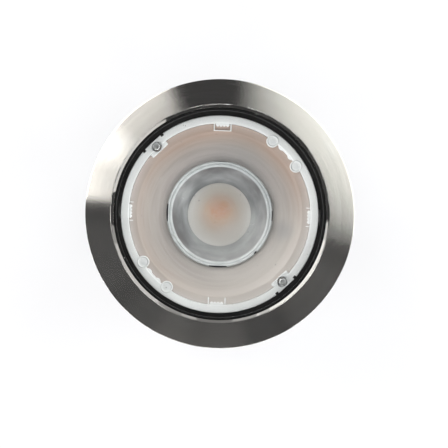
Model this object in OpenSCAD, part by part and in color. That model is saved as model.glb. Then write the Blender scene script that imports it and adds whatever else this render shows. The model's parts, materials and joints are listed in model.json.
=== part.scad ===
// In-ground adjustable spotlight. Millimetres. The origin is on the lamp's axis in the ground plane,
// which is the plane of the bezel's underside. +Z points up out of the ground.

/* [Bezel] */
// Outer diameter of the stainless bezel
bezel_d = 112; // [109:0.5:120]
// How far the bezel reaches in over the glass
glass_hold = 1.7; // [1.2:0.1:2.4]
// Height of the face above the ground at its inner edge
bezel_h_in = 3.4; // [3:0.1:5]
// Height of the face above the ground at its outer edge
bezel_h_out = 2.6; // [1.6:0.1:3]
// Size of the chamfer at the opening
bezel_chamfer = 1.5; // [0.8:0.1:1.6]
// Radius of the rounded outer edge
bezel_edge_r = 0.8; // [0.4:0.1:1.4]
// Depth of the threaded skirt below the ground plane
skirt_depth = 12; // [9:0.5:14]
// Wall of the threaded skirt
skirt_wall = 2; // [1.6:0.1:2.4]

/* [Glass and gasket] */
// Gap between the lens holder and the ledge that carries the glass
neck_gap = 1.5; // [1.2:0.1:2]
// How far the ledge reaches in under the glass
ledge_w = 2.5; // [2:0.1:3]
// Thickness of the tempered glass
glass_t = 6; // [4:0.5:8]
// Wall of the gasket round the edge of the glass
gasket_wall = 1.2; // [0.8:0.1:1.6]
// Thickness of the gasket's two lips
gasket_lip = 0.8; // [0.5:0.1:1.2]
// How far the gasket's lips reach in from the opening's edge
gasket_reach = 0.7; // [0.4:0.1:1]

/* [Housing] */
// Gap between the tilt screws' heads and the wall of the lamp chamber
chamber_gap = 2.8; // [2.4:0.1:3.4]
// Wall of the cast housing
housing_wall = 2.3; // [2:0.1:2.6]
// Wall of the housing's rim round the gasket
rim_wall = 1.7; // [1.4:0.1:2]
// Thickness of the ledge that carries the gasket
ledge_t = 2; // [1.6:0.1:3]
// Thickness of the rim's foot, round the top of the chamber
rim_foot = 3; // [2.6:0.1:3.4]
// Thickness of the chamber's floor
floor_t = 4.5; // [4:0.5:7]
// Inner radius of the driver compartment
box_r = 39; // [36:0.5:43]
// Height of the driver compartment
box_h = 30; // [28:0.5:40]
// Wall of the driver compartment
box_wall = 3; // [2.4:0.1:3.4]
// How far the bottom flange reaches beyond the circle of cover screws
flange_rim = 3.6; // [3.4:0.1:4.6]
// Thickness of the bottom flange
flange_t = 8; // [7:0.5:10]
// Number of cooling ribs, 6 or 12 so that they clear the springs
rib_count = 12; // [6:6:12]
// Thickness of a cooling rib
rib_t = 2.4; // [1.6:0.1:3]
// How far the ribs stand out from the housing
rib_depth = 2.3; // [1.3:0.1:2.5]

/* [Bottom cover] */
// Thickness of the bottom cover
cover_t = 4; // [3.5:0.5:6]
// Gap between the cover screws' heads and the stand ring under the cover
stand_gap = 1.5; // [1:0.1:2.5]
// Wall of the stand ring
stand_wall = 3; // [2.4:0.1:4]
// Height of the stand ring
stand_h = 24; // [22:0.5:32]
// Width of the four cable windows in the stand ring
window_w = 20; // [14:1:26]
// Height of the four cable windows
window_h = 14; // [10:0.5:16]
// Section diameter of the cover seal
seal_d = 2; // [1.6:0.1:2.4]
// Distance from the compartment's wall to the middle of the cover seal
seal_offset = 2.6; // [2.2:0.1:3]
// Distance from the middle of the cover seal to the circle of cover screws
cover_screw_offset = 4.8; // [4.4:0.1:5.6]
// Number of cover screws
cover_screw_count = 6; // [4:1:8]
// Thread radius of a cover screw
cover_screw_r = 2; // [1.5:0.1:2]
// Depth of a cover screw's thread in the flange
cover_screw_grip = 6; // [4:0.5:6.5]

/* [Cable gland and vent] */
// Radius of the cable that the gland is made for
cable_r = 4; // [3:0.1:4.6]
// Thread radius of the gland
gland_r = 8; // [7.6:0.1:9]
// Width across the flats of the gland
gland_af = 20; // [19:0.5:24]
// Height of the gland body's hexagon
gland_hex_h = 4.3; // [3:0.1:6]
// Length of the gland body's threaded neck
gland_neck_h = 6; // [5:0.5:7]
// Height of the gland nut
gland_nut_h = 13.5; // [13:0.5:14]
// Radius of the vent's thread
vent_r = 5; // [4:0.5:6]
// Distance of the vent from the lamp's axis
vent_ring = 26; // [24:0.5:27]

/* [Retaining springs] */
// Thickness of a spring's steel strip
spring_t = 0.6; // [0.4:0.1:0.8]
// Width of a spring
spring_w = 10; // [8:0.5:11]
// Length of a spring's free blade
spring_len = 34; // [28:1:40]
// How far the springs' tips stand out from their feet when relaxed
spring_lean = 4.1; // [3.6:0.1:4.5]

/* [Swivel yoke] */
// Thickness of the yoke's sheet
yoke_t = 1.5; // [1.2:0.1:1.6]
// Gap between the heat sink and each arm of the yoke
yoke_side_gap = 3; // [2.6:0.1:4]
// Width of the yoke's arms
yoke_w = 14; // [12:0.5:15]
// Radius of the hollow swivel bolt
bolt_r = 5; // [4.5:0.1:6]
// Radius of the wire passage in the swivel bolt
bolt_bore_r = 3.4; // [2.5:0.1:3.8]
// Turn of the lamp head about the upright axis as photographed
aim_turn = -2; // [-10:1:10]
// Largest tilt of the lamp head to either side
tilt_max = 10; // [6:1:10]
// Radius of the tilt screws' shoulders
tilt_pin_r = 2; // [1.6:0.1:2.4]

/* [Lamp head] */
// Width of the white ring of the lens holder
holder_ring_w = 3.4; // [3:0.1:4]
// Width of the holder's seat under the lens's flange
holder_seat_w = 2.8; // [2.4:0.1:3.4]
// Height of the holder's ring above its seat
holder_h = 3; // [2.6:0.1:4]
// Thickness of the holder's seat
holder_seat_t = 1.4; // [1:0.1:2]
// Height of the holder's top above the tilt axis
head_rise = 12.4; // [12.2:0.1:14]
// Width of the four snap clips
clip_w = 5.2; // [4:0.1:7]
// How far the clips reach in from the ring
clip_reach = 1.4; // [1:0.1:2]
// Radius of the lens at the holder's seat
lens_r = 35.8; // [33:0.1:38]
// Thickness of the lens's flange
lens_flange_t = 1.5; // [1.2:0.1:1.8]
// Height of the lens below its flange
lens_h = 27.8; // [26:0.1:30]
// Radius of the lens's neck at the light source
lens_neck_r = 11; // [10:0.1:12]
// Outer radius of the collar's rim
collar_r = 22.6; // [22:0.1:24]
// Width of the collar's rim
collar_rim_w = 2.4; // [2:0.1:3]
// Inner radius at the foot of the collar's cone
collar_foot_r = 13.6; // [12:0.1:15]
// Height of the collar from its rim to its foot
collar_h = 14.6; // [12:0.1:15]
// Wall of the collar's cone
collar_wall = 0.8; // [0.6:0.1:1]
// Side of the square light source board
board_w = 19; // [17:0.5:20]
// Thickness of the light source board
board_t = 1; // [0.8:0.1:1.6]
// Radius of the light-emitting disc
chip_r = 6.5; // [5:0.1:7]
// Radius of the heat sink
sink_r = 37; // [34:0.1:41]
// Thickness of the heat sink's base
sink_base_t = 4; // [3.5:0.5:6]
// Height of the heat sink's fins
sink_fin_h = 15.5; // [12:0.5:18]
// Thickness of a heat sink fin
sink_fin_t = 1.6; // [1.2:0.1:2.4]
// Distance from fin to fin
sink_fin_pitch = 5.2; // [4:0.1:8]

/* [Clearances] */
// Gap between pieces that move past each other
run_gap = 0.3; // [0.2:0.05:0.4]
// Gap round a shaft that turns in its hole
pin_gap = 0.08; // [0.03:0.01:0.1]
// Gap between pieces that are screwed or pushed together
fit_gap = 0.1; // [0.05:0.01:0.15]
// Gap between the tilted lamp head and the ledge above it
swing_gap = 0.6; // [0.5:0.1:1]
// Gap between the tilted heat sink and the yoke below it
sink_gap = 1.2; // [0.8:0.1:2]

/* [Hidden] */
$fn = 96;
eps = 0.01;
cast_black = [0.13, 0.13, 0.14];

// Radii from the lens outwards: the holder, the ledge's edge, the glass, the rim and the bezel
lens_side_gap = 0.2;
holder_in_r = lens_r + holder_seat_w;
holder_r = holder_in_r + holder_ring_w;
clip_r = holder_in_r - clip_reach;
neck_r = holder_r + neck_gap;
glass_r = neck_r + ledge_w;
opening_r = glass_r - glass_hold;
bezel_r = bezel_d / 2;
face_in_r = opening_r + bezel_chamfer;
gasket_r = glass_r + gasket_wall;
gasket_in_r = opening_r - gasket_reach;
rim_in_r = gasket_r + fit_gap;
rim_r = rim_in_r + rim_wall;
skirt_in_r = rim_r + fit_gap / 2;
skirt_r = skirt_in_r + skirt_wall;
collar_in_r = collar_r - collar_rim_w;

// Radii of the yoke, which clears the heat sink and the holder's lugs, and of the chamber round it
tilt_lug_gap = 0.5;
tilt_lug_t = 2.5;
tilt_washer_t = 0.7;
tilt_head_h = 1.4;
lug_reach = lens_r + lens_side_gap + tilt_lug_gap + tilt_lug_t + tilt_washer_t + run_gap;
yoke_half = max(sink_r + yoke_side_gap, lug_reach);
chamber_top_r = rim_r - rim_foot;
chamber_r = yoke_half + yoke_t + run_gap + tilt_head_h + chamber_gap;
body_r = chamber_r + housing_wall;
rib_r = body_r + rib_depth;

// Radii of the driver compartment, the cover seal, the cover screws, the flange and the stand ring
cover_screw_head_r = 3.4;
cover_screw_head_h = 2.2;
box_out_r = box_r + box_wall;
groove_r = box_r + seal_offset;
cover_screw_ring = groove_r + cover_screw_offset;
flange_r = cover_screw_ring + flange_rim;
stand_r = cover_screw_ring - cover_screw_head_r - stand_gap;

// Heights of the glass stack, from the steel lip down to the chamber's top
lip_edge_h = 0.2;
lip_z = bezel_h_in - bezel_chamfer - lip_edge_h;
glass_top_z = lip_z - gasket_lip;
glass_low_z = glass_top_z - glass_t;
gasket_low_z = glass_low_z - gasket_lip;
chamber_top_z = gasket_low_z - ledge_t;
rim_top_z = lip_z - 0.5;
rim_low_z = -skirt_depth - 0.6;

// Heights of the lamp head, hung so that it clears the ledge when it tilts fully
pivot_z = chamber_top_z - swing_gap - holder_r * sin(tilt_max) - head_rise * cos(tilt_max);
holder_top_z = pivot_z + head_rise;
holder_seat_z = holder_top_z - holder_h;
holder_low_z = holder_seat_z - holder_seat_t;
lens_top_z = holder_seat_z + lens_flange_t;
lens_low_z = holder_seat_z - lens_h;
lens_dish = 2;
collar_rim_h = 2.6;
collar_seat_z = lens_top_z - lens_dish - 0.4;
collar_top_z = collar_seat_z + collar_rim_h;
collar_foot_z = collar_top_z - collar_h;
source_seat_h = 2.1;
source_holder_h = 4.2;
sink_top_z = lens_low_z - source_seat_h;
pad_t = 0.3;
sink_low_z = sink_top_z - sink_base_t - sink_fin_h;

// Heights of the yoke, the floor and the driver compartment below them
sink_drop = pivot_z - sink_low_z;
yoke_top_z = pivot_z - sink_drop * cos(tilt_max) - sink_r * sin(tilt_max) - sink_gap;
yoke_low_z = yoke_top_z - yoke_t;
washer_t = 1.2;
floor_z = yoke_low_z - run_gap - washer_t;
floor_low_z = floor_z - floor_t;
box_low_z = floor_low_z - box_h;
flange_top_z = box_low_z + flange_t;
cover_low_z = box_low_z - cover_t;
stand_low_z = cover_low_z - stand_h;

// The cone that joins the driver compartment to the floor
cone_top_r = max(body_r - 2, box_out_r + 0.5);
cone_low_z = floor_low_z - (cone_top_r - box_out_r);

// Fasteners and small parts
screw_r = 1.5;
screw_head_r = 2.8;
screw_head_h = 1.8;
tap_gap = 0.05;
lobe_r = 2.6;
holder_screw_r = 1.25;
holder_screw_head_r = 1.7;
holder_screw_ring = holder_in_r + 0.7;
holder_pillar_r = holder_screw_head_r + 0.7;
source_screw_gap = 1.86;
source_screw_ring = board_w / sqrt(2) + screw_r + source_screw_gap;
source_screw_sink = 1.9;
source_holder_r = source_screw_ring + 4.2;
source_holder_edge = 1.2;
short_screw_l = 5;
spring_screw_head_r = 2.6;
spring_screw_head_h = 1.2;
earth_screw_l = 3;
holder_screw_l = 9.5;
holder_screw_head_h = 1.2;
detail_step = 0.2;
tilt_lug_out = yoke_half - run_gap - tilt_washer_t;
tilt_lug_in = tilt_lug_out - tilt_lug_t;
tilt_lug_r = 6;
tilt_head_r = 3.5;
bolt_head_r = 8.5;
bolt_head_h = 2.4;
wave_t = 0.8;
bolt_nut_h = 5;
bolt_nut_af = 17;
friction_washer_r = 12;
yoke_hub_r = 13;
yoke_hole_x = 25;
yoke_hole_r = 3.5;
stop_ring = 20;
stop_h = 1;
stop_r = 1.5;
stop_depth = 3;

// The driver's case hangs from the floor on one side, the terminals on the other
driver_d = 18;
driver_h = 22;
driver_y = 11.8;
driver_corner_r = 2;
driver_wall = 1.8;
driver_gap = 1.55;
ear_w = 7;
ear_d = 10;
ear_t = 2;
ear_corner_r = 1.5;
terminal_w = 32;
terminal_d = 13;
terminal_h = 14;
terminal_y = -26;
terminal_screw_r = 2.4;
terminal_screw_h = 3.4;
terminal_screw_sink = 1.2;
earth_x = terminal_w / 2 + 9;
earth_y = terminal_y + 8;
pole_count = 3;
pole_pitch = 9.6;

// Widest tray whose far corners and ears still fit the round compartment
function half_chord(y, corner) = corner + sqrt(pow(box_r - driver_gap - corner, 2) - pow(y - corner, 2));
driver_w = 2 * min(half_chord(driver_y + driver_d, driver_corner_r),
    half_chord(driver_y + ear_d, ear_corner_r) - ear_w);

// The springs stand between the ribs
spring_angles = [75, 195, 315];
anchor_h = 12;
anchor_r = body_r + 0.6;
spring_reach = anchor_r + spring_lean;
anchor_top_z = floor_low_z - 3;
hinge_z = anchor_top_z + run_gap;

// The gland and the locknut that holds it in the cover
gland_washer_t = 1.2;
gland_hex_top_z = cover_low_z - gland_washer_t;
gland_hex_low_z = gland_hex_top_z - gland_hex_h;
gland_neck_low_z = gland_hex_low_z - gland_neck_h;
gland_seal_r = gland_r - 1.6;
gland_seal_top_z = gland_hex_low_z + 2;
gland_nut_top_z = gland_hex_low_z - run_gap;
gland_nut_low_z = gland_nut_top_z - gland_nut_h;
gland_shoulder_z = gland_neck_low_z - 1.5;
locknut_h = 4;

// Points of an arc about a centre, from one angle to another
function arc(centre, r, a0, a1, steps) =
    [for (i = [0:steps]) let (a = a0 + (a1 - a0) * i / steps) centre + r * [cos(a), sin(a)]];

// Points of a rectangle with round corners, centred
function round_rect(w, h, r, steps = 4) = concat(
    arc([w / 2 - r, h / 2 - r], r, 0, 90, steps),
    arc([r - w / 2, h / 2 - r], r, 90, 180, steps),
    arc([r - w / 2, r - h / 2], r, 180, 270, steps),
    arc([w / 2 - r, r - h / 2], r, 270, 360, steps));

// Radius of the lens's curved side at a height fraction from its neck, 0, to its seat, 1
function lens_side_r(t) = lens_neck_r + (lens_r - lens_neck_r) * pow(t, 0.55);

// A copy of the children at each angle about the upright axis
module around(angles) {
    for (a = angles) rotate([0, 0, a]) children();
}

// A radial extrusion: a profile drawn in radius and height becomes a plate of a given thickness
module radial_plate(points, thickness) {
    translate([0, thickness / 2, 0])
        rotate([90, 0, 0])
        linear_extrude(thickness)
        polygon(points);
}

// A flat ring from one height to another
module ring(r_out, r_in, z_low, z_top) {
    translate([0, 0, z_low])
        difference() {
            cylinder(r = r_out, h = z_top - z_low);
            translate([0, 0, -1]) cylinder(r = r_in, h = z_top - z_low + 2);
        }
}

// A hexagon bar across its flats, from one height to another
module hex_bar(af, z_low, z_top) {
    translate([0, 0, z_low]) cylinder(r = af / 2 / cos(30), h = z_top - z_low, $fn = 6);
}

// A pan-head screw that points down from the origin, its head above
module pan_screw(r, length, head_r, head_h) {
    difference() {
        union() {
            translate([0, 0, -length]) cylinder(r = r, h = length + eps);
            rotate_extrude()
                polygon(concat([[0, 0], [head_r, 0]],
                    arc([head_r - head_h * 0.6, head_h * 0.4], head_h * 0.6, 0, 90, 4), [[0, head_h]]));
        }
        translate([0, 0, head_h * 0.4])
            cylinder(r = head_r * 0.5, h = head_h, $fn = 6);
    }
}

// The lamp head and its yoke stand turned about the upright axis
module aimed() {
    rotate([0, 0, aim_turn]) children();
}

module bezel_ring() {
    color([0.72, 0.71, 0.68])
        rotate_extrude()
        polygon(concat(
            [[skirt_in_r, -skirt_depth + 0.4], [skirt_in_r + 0.4, -skirt_depth],
                [skirt_r - 0.4, -skirt_depth], [skirt_r, -skirt_depth + 0.4], [skirt_r, 0],
                [bezel_r - 0.3, 0], [bezel_r, 0.3]],
            arc([bezel_r - bezel_edge_r, bezel_h_out - bezel_edge_r], bezel_edge_r, 0, 90, 6),
            [[face_in_r, bezel_h_in], [opening_r, bezel_h_in - bezel_chamfer], [opening_r, lip_z],
                [skirt_in_r, lip_z]]));
}

module cover_glass() {
    bevel = 0.5;
    color([0.85, 0.93, 0.92, 0.35])
        rotate_extrude()
        polygon([[0, glass_low_z], [glass_r - bevel, glass_low_z], [glass_r, glass_low_z + bevel],
            [glass_r, glass_top_z - bevel], [glass_r - bevel, glass_top_z], [0, glass_top_z]]);
}

module glass_gasket() {
    color([0.05, 0.05, 0.05])
        rotate_extrude()
        polygon([[gasket_in_r, lip_z], [gasket_r, lip_z], [gasket_r, gasket_low_z],
            [gasket_in_r, gasket_low_z], [gasket_in_r, glass_low_z], [glass_r, glass_low_z],
            [glass_r, glass_top_z], [gasket_in_r, glass_top_z]]);
}

// The casting is drawn in seven simple shapes that meet face to face. First its rim, which holds the
// gasket on a ledge
module housing_rim() {
    color(cast_black)
        rotate_extrude()
        polygon([[rim_in_r, rim_top_z], [rim_in_r, gasket_low_z], [neck_r, gasket_low_z],
            [neck_r, chamber_top_z], [rim_r, chamber_top_z], [rim_r, rim_top_z]]);
}

// The wall of the lamp chamber, from the rim's foot to the floor
module housing() {
    foot_z = rim_low_z - housing_wall;
    color(cast_black)
        rotate_extrude()
        polygon([[chamber_top_r, chamber_top_z], [chamber_top_r, foot_z], [chamber_r, foot_z - 3],
            [chamber_r, floor_z], [body_r, floor_z], [body_r, rim_low_z - 1], [rim_r, rim_low_z],
            [rim_r, chamber_top_z]]);
}

// The floor between the lamp chamber and the driver compartment, with its tapped holes
module chamber_floor() {
    tap_h = floor_t - 1;
    color(cast_black)
        difference() {
            ring(body_r, bolt_r + tap_gap, floor_low_z, floor_z);
            for (side = [-1, 1])
                translate([side * (driver_w + ear_w) / 2, driver_y + ear_d / 2, floor_low_z - 1])
                    cylinder(r = screw_r + tap_gap, h = tap_h + 1);
            translate([earth_x, earth_y, floor_low_z - 1])
                cylinder(r = screw_r + tap_gap, h = tap_h + 1);
            translate([0, stop_ring, floor_z - stop_depth])
                cylinder(r = stop_r + tap_gap, h = stop_depth + 1);
        }
}

// Steel pin pressed into the floor, which the yoke's tongue comes up against
module stop_pin() {
    color([0.75, 0.75, 0.76])
        translate([0, stop_ring, floor_z - stop_depth])
        cylinder(r = stop_r, h = stop_depth + stop_h);
}

// The round wall of the driver compartment, widened to a cone under the floor
module driver_box() {
    color(cast_black)
        rotate_extrude()
        polygon([[box_r, floor_low_z], [box_r, box_low_z], [box_out_r, box_low_z],
            [box_out_r, cone_low_z], [cone_top_r, floor_low_z]]);
}

// The flange round the driver compartment's foot, with the cover screws' tapped holes
module cover_flange() {
    color(cast_black)
        difference() {
            rotate_extrude()
                polygon([[box_out_r, box_low_z], [flange_r, box_low_z], [flange_r, flange_top_z - 1],
                    [flange_r - 1, flange_top_z], [box_out_r, flange_top_z]]);
            around([for (i = [0:cover_screw_count - 1]) i * 360 / cover_screw_count])
                translate([cover_screw_ring, 0, box_low_z - 1])
                cylinder(r = cover_screw_r + tap_gap, h = cover_screw_grip + 1.5);
        }
}

// The outside of the driver compartment and the chamber's wall, which ribs and bosses are cut back to
module casting_core() {
    rotate_extrude()
        polygon([[0, box_low_z], [box_out_r, box_low_z], [box_out_r, cone_low_z],
            [cone_top_r, floor_low_z], [body_r, floor_low_z], [body_r, rim_low_z], [0, rim_low_z]]);
}

// The blocks that carry the springs' feet, each with a tapped hole
module spring_bosses() {
    width = spring_w + 2;
    color(cast_black)
        difference() {
            around(spring_angles)
                translate([box_out_r - box_wall / 2, -width / 2, anchor_top_z - anchor_h])
                cube([anchor_r - box_out_r + box_wall / 2, width, anchor_h]);
            casting_core();
            around(spring_angles)
                translate([anchor_r + 1, 0, anchor_top_z - anchor_h / 2])
                rotate([0, -90, 0])
                cylinder(r = screw_r + tap_gap, h = 6.5);
        }
}

// The cooling ribs, each in two lengths: on the chamber's wall and on the driver compartment
module cooling_ribs() {
    start_z = rim_low_z - 4;
    foot_h = 6;
    root = 1;
    color(cast_black)
        difference() {
            around([for (i = [0:rib_count - 1]) i * 360 / rib_count]) {
                radial_plate([[body_r - root, start_z], [body_r, start_z],
                    [rib_r, start_z - 2 * rib_depth], [rib_r, floor_low_z], [body_r - root, floor_low_z]],
                    rib_t);
                radial_plate([[rib_r, floor_low_z], [rib_r, flange_top_z + foot_h],
                    [flange_r - 1, flange_top_z], [box_out_r - root, flange_top_z],
                    [box_out_r - root, floor_low_z]], rib_t);
            }
            casting_core();
        }
}

// The hollow bolt that the yoke turns on; the light source's leads pass through it
module swivel_bolt() {
    head_low_z = yoke_top_z + run_gap + wave_t;
    color([0.6, 0.58, 0.5])
        difference() {
            union() {
                ring(bolt_r, bolt_bore_r, floor_low_z - bolt_nut_h - 2, head_low_z + eps);
                ring(bolt_head_r, bolt_bore_r, head_low_z, head_low_z + bolt_head_h);
            }
            // two spanner flats on the head
            for (side = [-1, 1])
                translate([side * bolt_head_r * 1.42, 0, head_low_z + bolt_head_h])
                    cube([bolt_head_r, bolt_head_r * 3, bolt_head_h * 1.4], center = true);
        }
}

module swivel_nut() {
    color([0.6, 0.58, 0.5])
        difference() {
            hex_bar(bolt_nut_af, floor_low_z - bolt_nut_h, floor_low_z);
            translate([0, 0, floor_low_z - bolt_nut_h - 1])
                cylinder(r = bolt_r + tap_gap, h = bolt_nut_h + 2);
        }
}

// Dished spring washer that gives the turn its friction
module spring_washer() {
    dish = wave_t / 2;
    in_r = bolt_r + fit_gap;
    out_r = bolt_head_r - 0.3;
    low_z = yoke_top_z + run_gap;
    color([0.7, 0.7, 0.7])
        rotate_extrude()
        polygon([[in_r, low_z + dish], [out_r, low_z], [out_r, low_z + wave_t - dish],
            [in_r, low_z + wave_t]]);
}

module friction_washer() {
    color([0.92, 0.9, 0.85])
        ring(friction_washer_r, bolt_r + fit_gap, floor_z, floor_z + washer_t);
}

// Moulded tray of the driver, with a screw ear at each end
module driver_case() {
    color([0.16, 0.16, 0.17])
        difference() {
            union() {
                translate([0, driver_y + driver_d / 2, floor_low_z - driver_h])
                    linear_extrude(driver_h)
                    polygon(round_rect(driver_w, driver_d, driver_corner_r));
                for (side = [-1, 1])
                    translate([side * (driver_w + ear_w - 1) / 2, driver_y + ear_d / 2,
                        floor_low_z - ear_t])
                        linear_extrude(ear_t)
                        polygon(round_rect(ear_w + 1, ear_d, ear_corner_r));
            }
            translate([0, driver_y + driver_d / 2, floor_low_z - driver_h - 1])
                linear_extrude(driver_h - driver_wall + 1)
                polygon(round_rect(driver_w - 2 * driver_wall, driver_d - 2 * driver_wall, 1));
            for (side = [-1, 1])
                translate([side * (driver_w + ear_w) / 2, driver_y + ear_d / 2, floor_low_z - ear_t - 1])
                    cylinder(r = screw_r + fit_gap, h = ear_t + 2);
            // notches for the leads
            for (x = [-driver_w / 4, driver_w / 4])
                translate([x, driver_y, floor_low_z - driver_h])
                    rotate([90, 0, 0])
                    cylinder(r = 2.5, h = 3 * driver_wall, center = true);
        }
}

module driver_potting() {
    color([0.08, 0.08, 0.09])
        translate([0, driver_y + driver_d / 2, floor_low_z - driver_h + 3])
        linear_extrude(driver_h - driver_wall - 3)
        polygon(round_rect(driver_w - 2 * driver_wall, driver_d - 2 * driver_wall, 1));
}

module driver_screws() {
    color([0.75, 0.75, 0.76])
        for (side = [-1, 1])
            translate([side * (driver_w + ear_w) / 2, driver_y + ear_d / 2, floor_low_z - ear_t])
                rotate([180, 0, 0])
                pan_screw(screw_r, short_screw_l, screw_head_r, screw_head_h);
}

// Three-pole terminal block, its wire entries on both long sides
module terminal_block() {
    color([0.88, 0.88, 0.85])
        difference() {
            translate([0, terminal_y + terminal_d / 2, floor_low_z - terminal_h])
                linear_extrude(terminal_h)
                polygon(round_rect(terminal_w, terminal_d, 1));
            for (i = [0:pole_count - 1]) {
                x = (i - (pole_count - 1) / 2) * pole_pitch;
                translate([x, terminal_y + terminal_d / 2, floor_low_z - terminal_h * 0.55])
                    rotate([90, 0, 0])
                    cylinder(r = 2, h = terminal_d + 2, center = true);
                translate([x, terminal_y + terminal_d / 2, floor_low_z - terminal_h - 1])
                    cylinder(r = terminal_screw_r, h = terminal_h * 0.45 + 1);
            }
            // grooves between the poles
            for (i = [1:pole_count - 1])
                translate([(i - pole_count / 2) * pole_pitch, terminal_y + terminal_d / 2,
                    floor_low_z - terminal_h])
                    cube([1, terminal_d + 2, 3], center = true);
        }
}

module terminal_screws() {
    color([0.75, 0.75, 0.76])
        for (i = [0:pole_count - 1]) {
            x = (i - (pole_count - 1) / 2) * pole_pitch;
            translate([x, terminal_y + terminal_d / 2, floor_low_z - terminal_h + terminal_screw_sink])
                difference() {
                    cylinder(r = terminal_screw_r - tap_gap, h = terminal_screw_h);
                    cube([terminal_screw_r * 0.3, terminal_screw_r * 2.5, terminal_screw_h / 2],
                        center = true);
                }
        }
}

module earth_screw() {
    color([0.78, 0.68, 0.35])
        translate([earth_x, earth_y, floor_low_z])
        rotate([180, 0, 0])
        pan_screw(screw_r, earth_screw_l, screw_head_r, screw_head_h);
}

// Plate with a spigot, a seal groove, the gland's and the vent's holes and the stand ring
module bottom_cover() {
    spigot_r = box_r - fit_gap;
    groove_w = seal_d + 0.6;
    color([0.13, 0.13, 0.14])
        difference() {
            union() {
                rotate_extrude()
                    polygon([[0, cover_low_z], [flange_r - 1, cover_low_z], [flange_r, cover_low_z + 1],
                        [flange_r, box_low_z], [spigot_r, box_low_z], [spigot_r, box_low_z + 3],
                        [spigot_r - 0.6, box_low_z + 3.6], [spigot_r - 2.4, box_low_z + 3.6],
                        [spigot_r - 2.4, box_low_z], [0, box_low_z]]);
                ring(stand_r, stand_r - stand_wall, stand_low_z, cover_low_z + eps);
            }
            ring(groove_r + groove_w / 2, groove_r - groove_w / 2, box_low_z - seal_d, box_low_z + 1);
            translate([0, 0, cover_low_z - 1]) cylinder(r = gland_r + fit_gap, h = cover_t + 2);
            rotate([0, 0, -45])
                translate([vent_ring, 0, cover_low_z - 1])
                cylinder(r = vent_r + fit_gap, h = cover_t + 2);
            around([for (i = [0:cover_screw_count - 1]) i * 360 / cover_screw_count])
                translate([cover_screw_ring, 0, cover_low_z - 1])
                cylinder(r = cover_screw_r + 0.2, h = cover_t + 2);
            around([0, 90])
                translate([0, 0, cover_low_z - 3 - window_h / 2])
                rotate([90, 0, 0])
                linear_extrude(3 * stand_r, center = true)
                polygon(round_rect(window_w, window_h, 3));
        }
}

module cover_seal() {
    color([0.05, 0.05, 0.05])
        rotate_extrude()
        translate([groove_r, box_low_z - seal_d / 2])
        circle(r = seal_d / 2 - 0.02, $fn = 32);
}

module cover_screws() {
    color([0.75, 0.75, 0.76])
        around([for (i = [0:cover_screw_count - 1]) i * 360 / cover_screw_count])
        translate([cover_screw_ring, 0, cover_low_z])
        rotate([180, 0, 0])
        pan_screw(cover_screw_r, cover_t + cover_screw_grip, cover_screw_head_r, cover_screw_head_h);
}

module gland_body() {
    color([0.75, 0.74, 0.7])
        difference() {
            union() {
                hex_bar(gland_af, gland_hex_low_z, gland_hex_top_z);
                ring(gland_r, cable_r + 0.6, gland_neck_low_z, box_low_z + locknut_h + 0.6);
            }
            translate([0, 0, gland_neck_low_z - 1])
                cylinder(r = cable_r + 0.8, h = 60);
            translate([0, 0, gland_neck_low_z - 1])
                cylinder(r = gland_seal_r + tap_gap, h = gland_seal_top_z - gland_neck_low_z + 1);
        }
}

module gland_washer() {
    color([0.06, 0.06, 0.06])
        ring(gland_af / 2 - 0.4, gland_r + tap_gap, cover_low_z - gland_washer_t, cover_low_z);
}

// Rubber sleeve that the gland nut squeezes on to the cable
module gland_seal() {
    color([0.1, 0.1, 0.1])
        rotate_extrude()
        polygon([[cable_r, gland_shoulder_z], [gland_seal_r + 0.9, gland_shoulder_z],
            [gland_seal_r + 0.9, gland_neck_low_z], [gland_seal_r, gland_neck_low_z],
            [gland_seal_r, gland_seal_top_z], [cable_r, gland_seal_top_z]]);
}

module gland_nut() {
    color([0.75, 0.74, 0.7])
        difference() {
            union() {
                hex_bar(gland_af, gland_nut_top_z - 7, gland_nut_top_z);
                rotate_extrude()
                    polygon(concat([[0, gland_nut_top_z - 6], [gland_af / 2, gland_nut_top_z - 6],
                        [gland_af / 2, gland_nut_low_z + 4]],
                        arc([gland_af / 2 - 4, gland_nut_low_z + 4], 4, 0, -90, 6),
                        [[0, gland_nut_low_z]]));
            }
            translate([0, 0, gland_shoulder_z])
                cylinder(r = gland_r + tap_gap, h = gland_nut_h);
            translate([0, 0, gland_nut_low_z - 1])
                cylinder(r = cable_r + 1, h = gland_nut_h);
        }
}

module gland_locknut() {
    color([0.75, 0.74, 0.7])
        difference() {
            hex_bar(gland_af + 2, box_low_z, box_low_z + locknut_h);
            translate([0, 0, box_low_z - 1]) cylinder(r = gland_r + tap_gap, h = locknut_h + 2);
        }
}

// Breathing plug with a slotted cap
module vent_plug() {
    cap_r = vent_r + 2.6;
    cap_h = 4;
    color([0.1, 0.1, 0.1])
        rotate([0, 0, -45])
        translate([vent_ring, 0, 0])
        difference() {
            union() {
                translate([0, 0, cover_low_z]) cylinder(r = vent_r, h = cover_t + 2);
                translate([0, 0, cover_low_z - cap_h]) cylinder(r = cap_r, h = cap_h);
            }
            around([0, 45, 90, 135])
                translate([0, 0, cover_low_z - cap_h / 2])
                cube([cap_r * 3, 1, 1.4], center = true);
            translate([0, 0, cover_low_z - cap_h / 2])
                cylinder(r = vent_r - 1.4, h = cover_t + cap_h + 4);
        }
}

// The clamped foot of each spring, with its hole
module spring_anchors() {
    color([0.78, 0.78, 0.79])
        around(spring_angles)
        difference() {
            translate([anchor_r, -spring_w / 2, anchor_top_z - anchor_h + 0.5])
                cube([spring_t, spring_w, anchor_h - 0.5]);
            translate([anchor_r - 1, 0, anchor_top_z - anchor_h / 2])
                rotate([0, 90, 0])
                cylinder(r = screw_r + fit_gap, h = spring_t + 2);
        }
}

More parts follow.
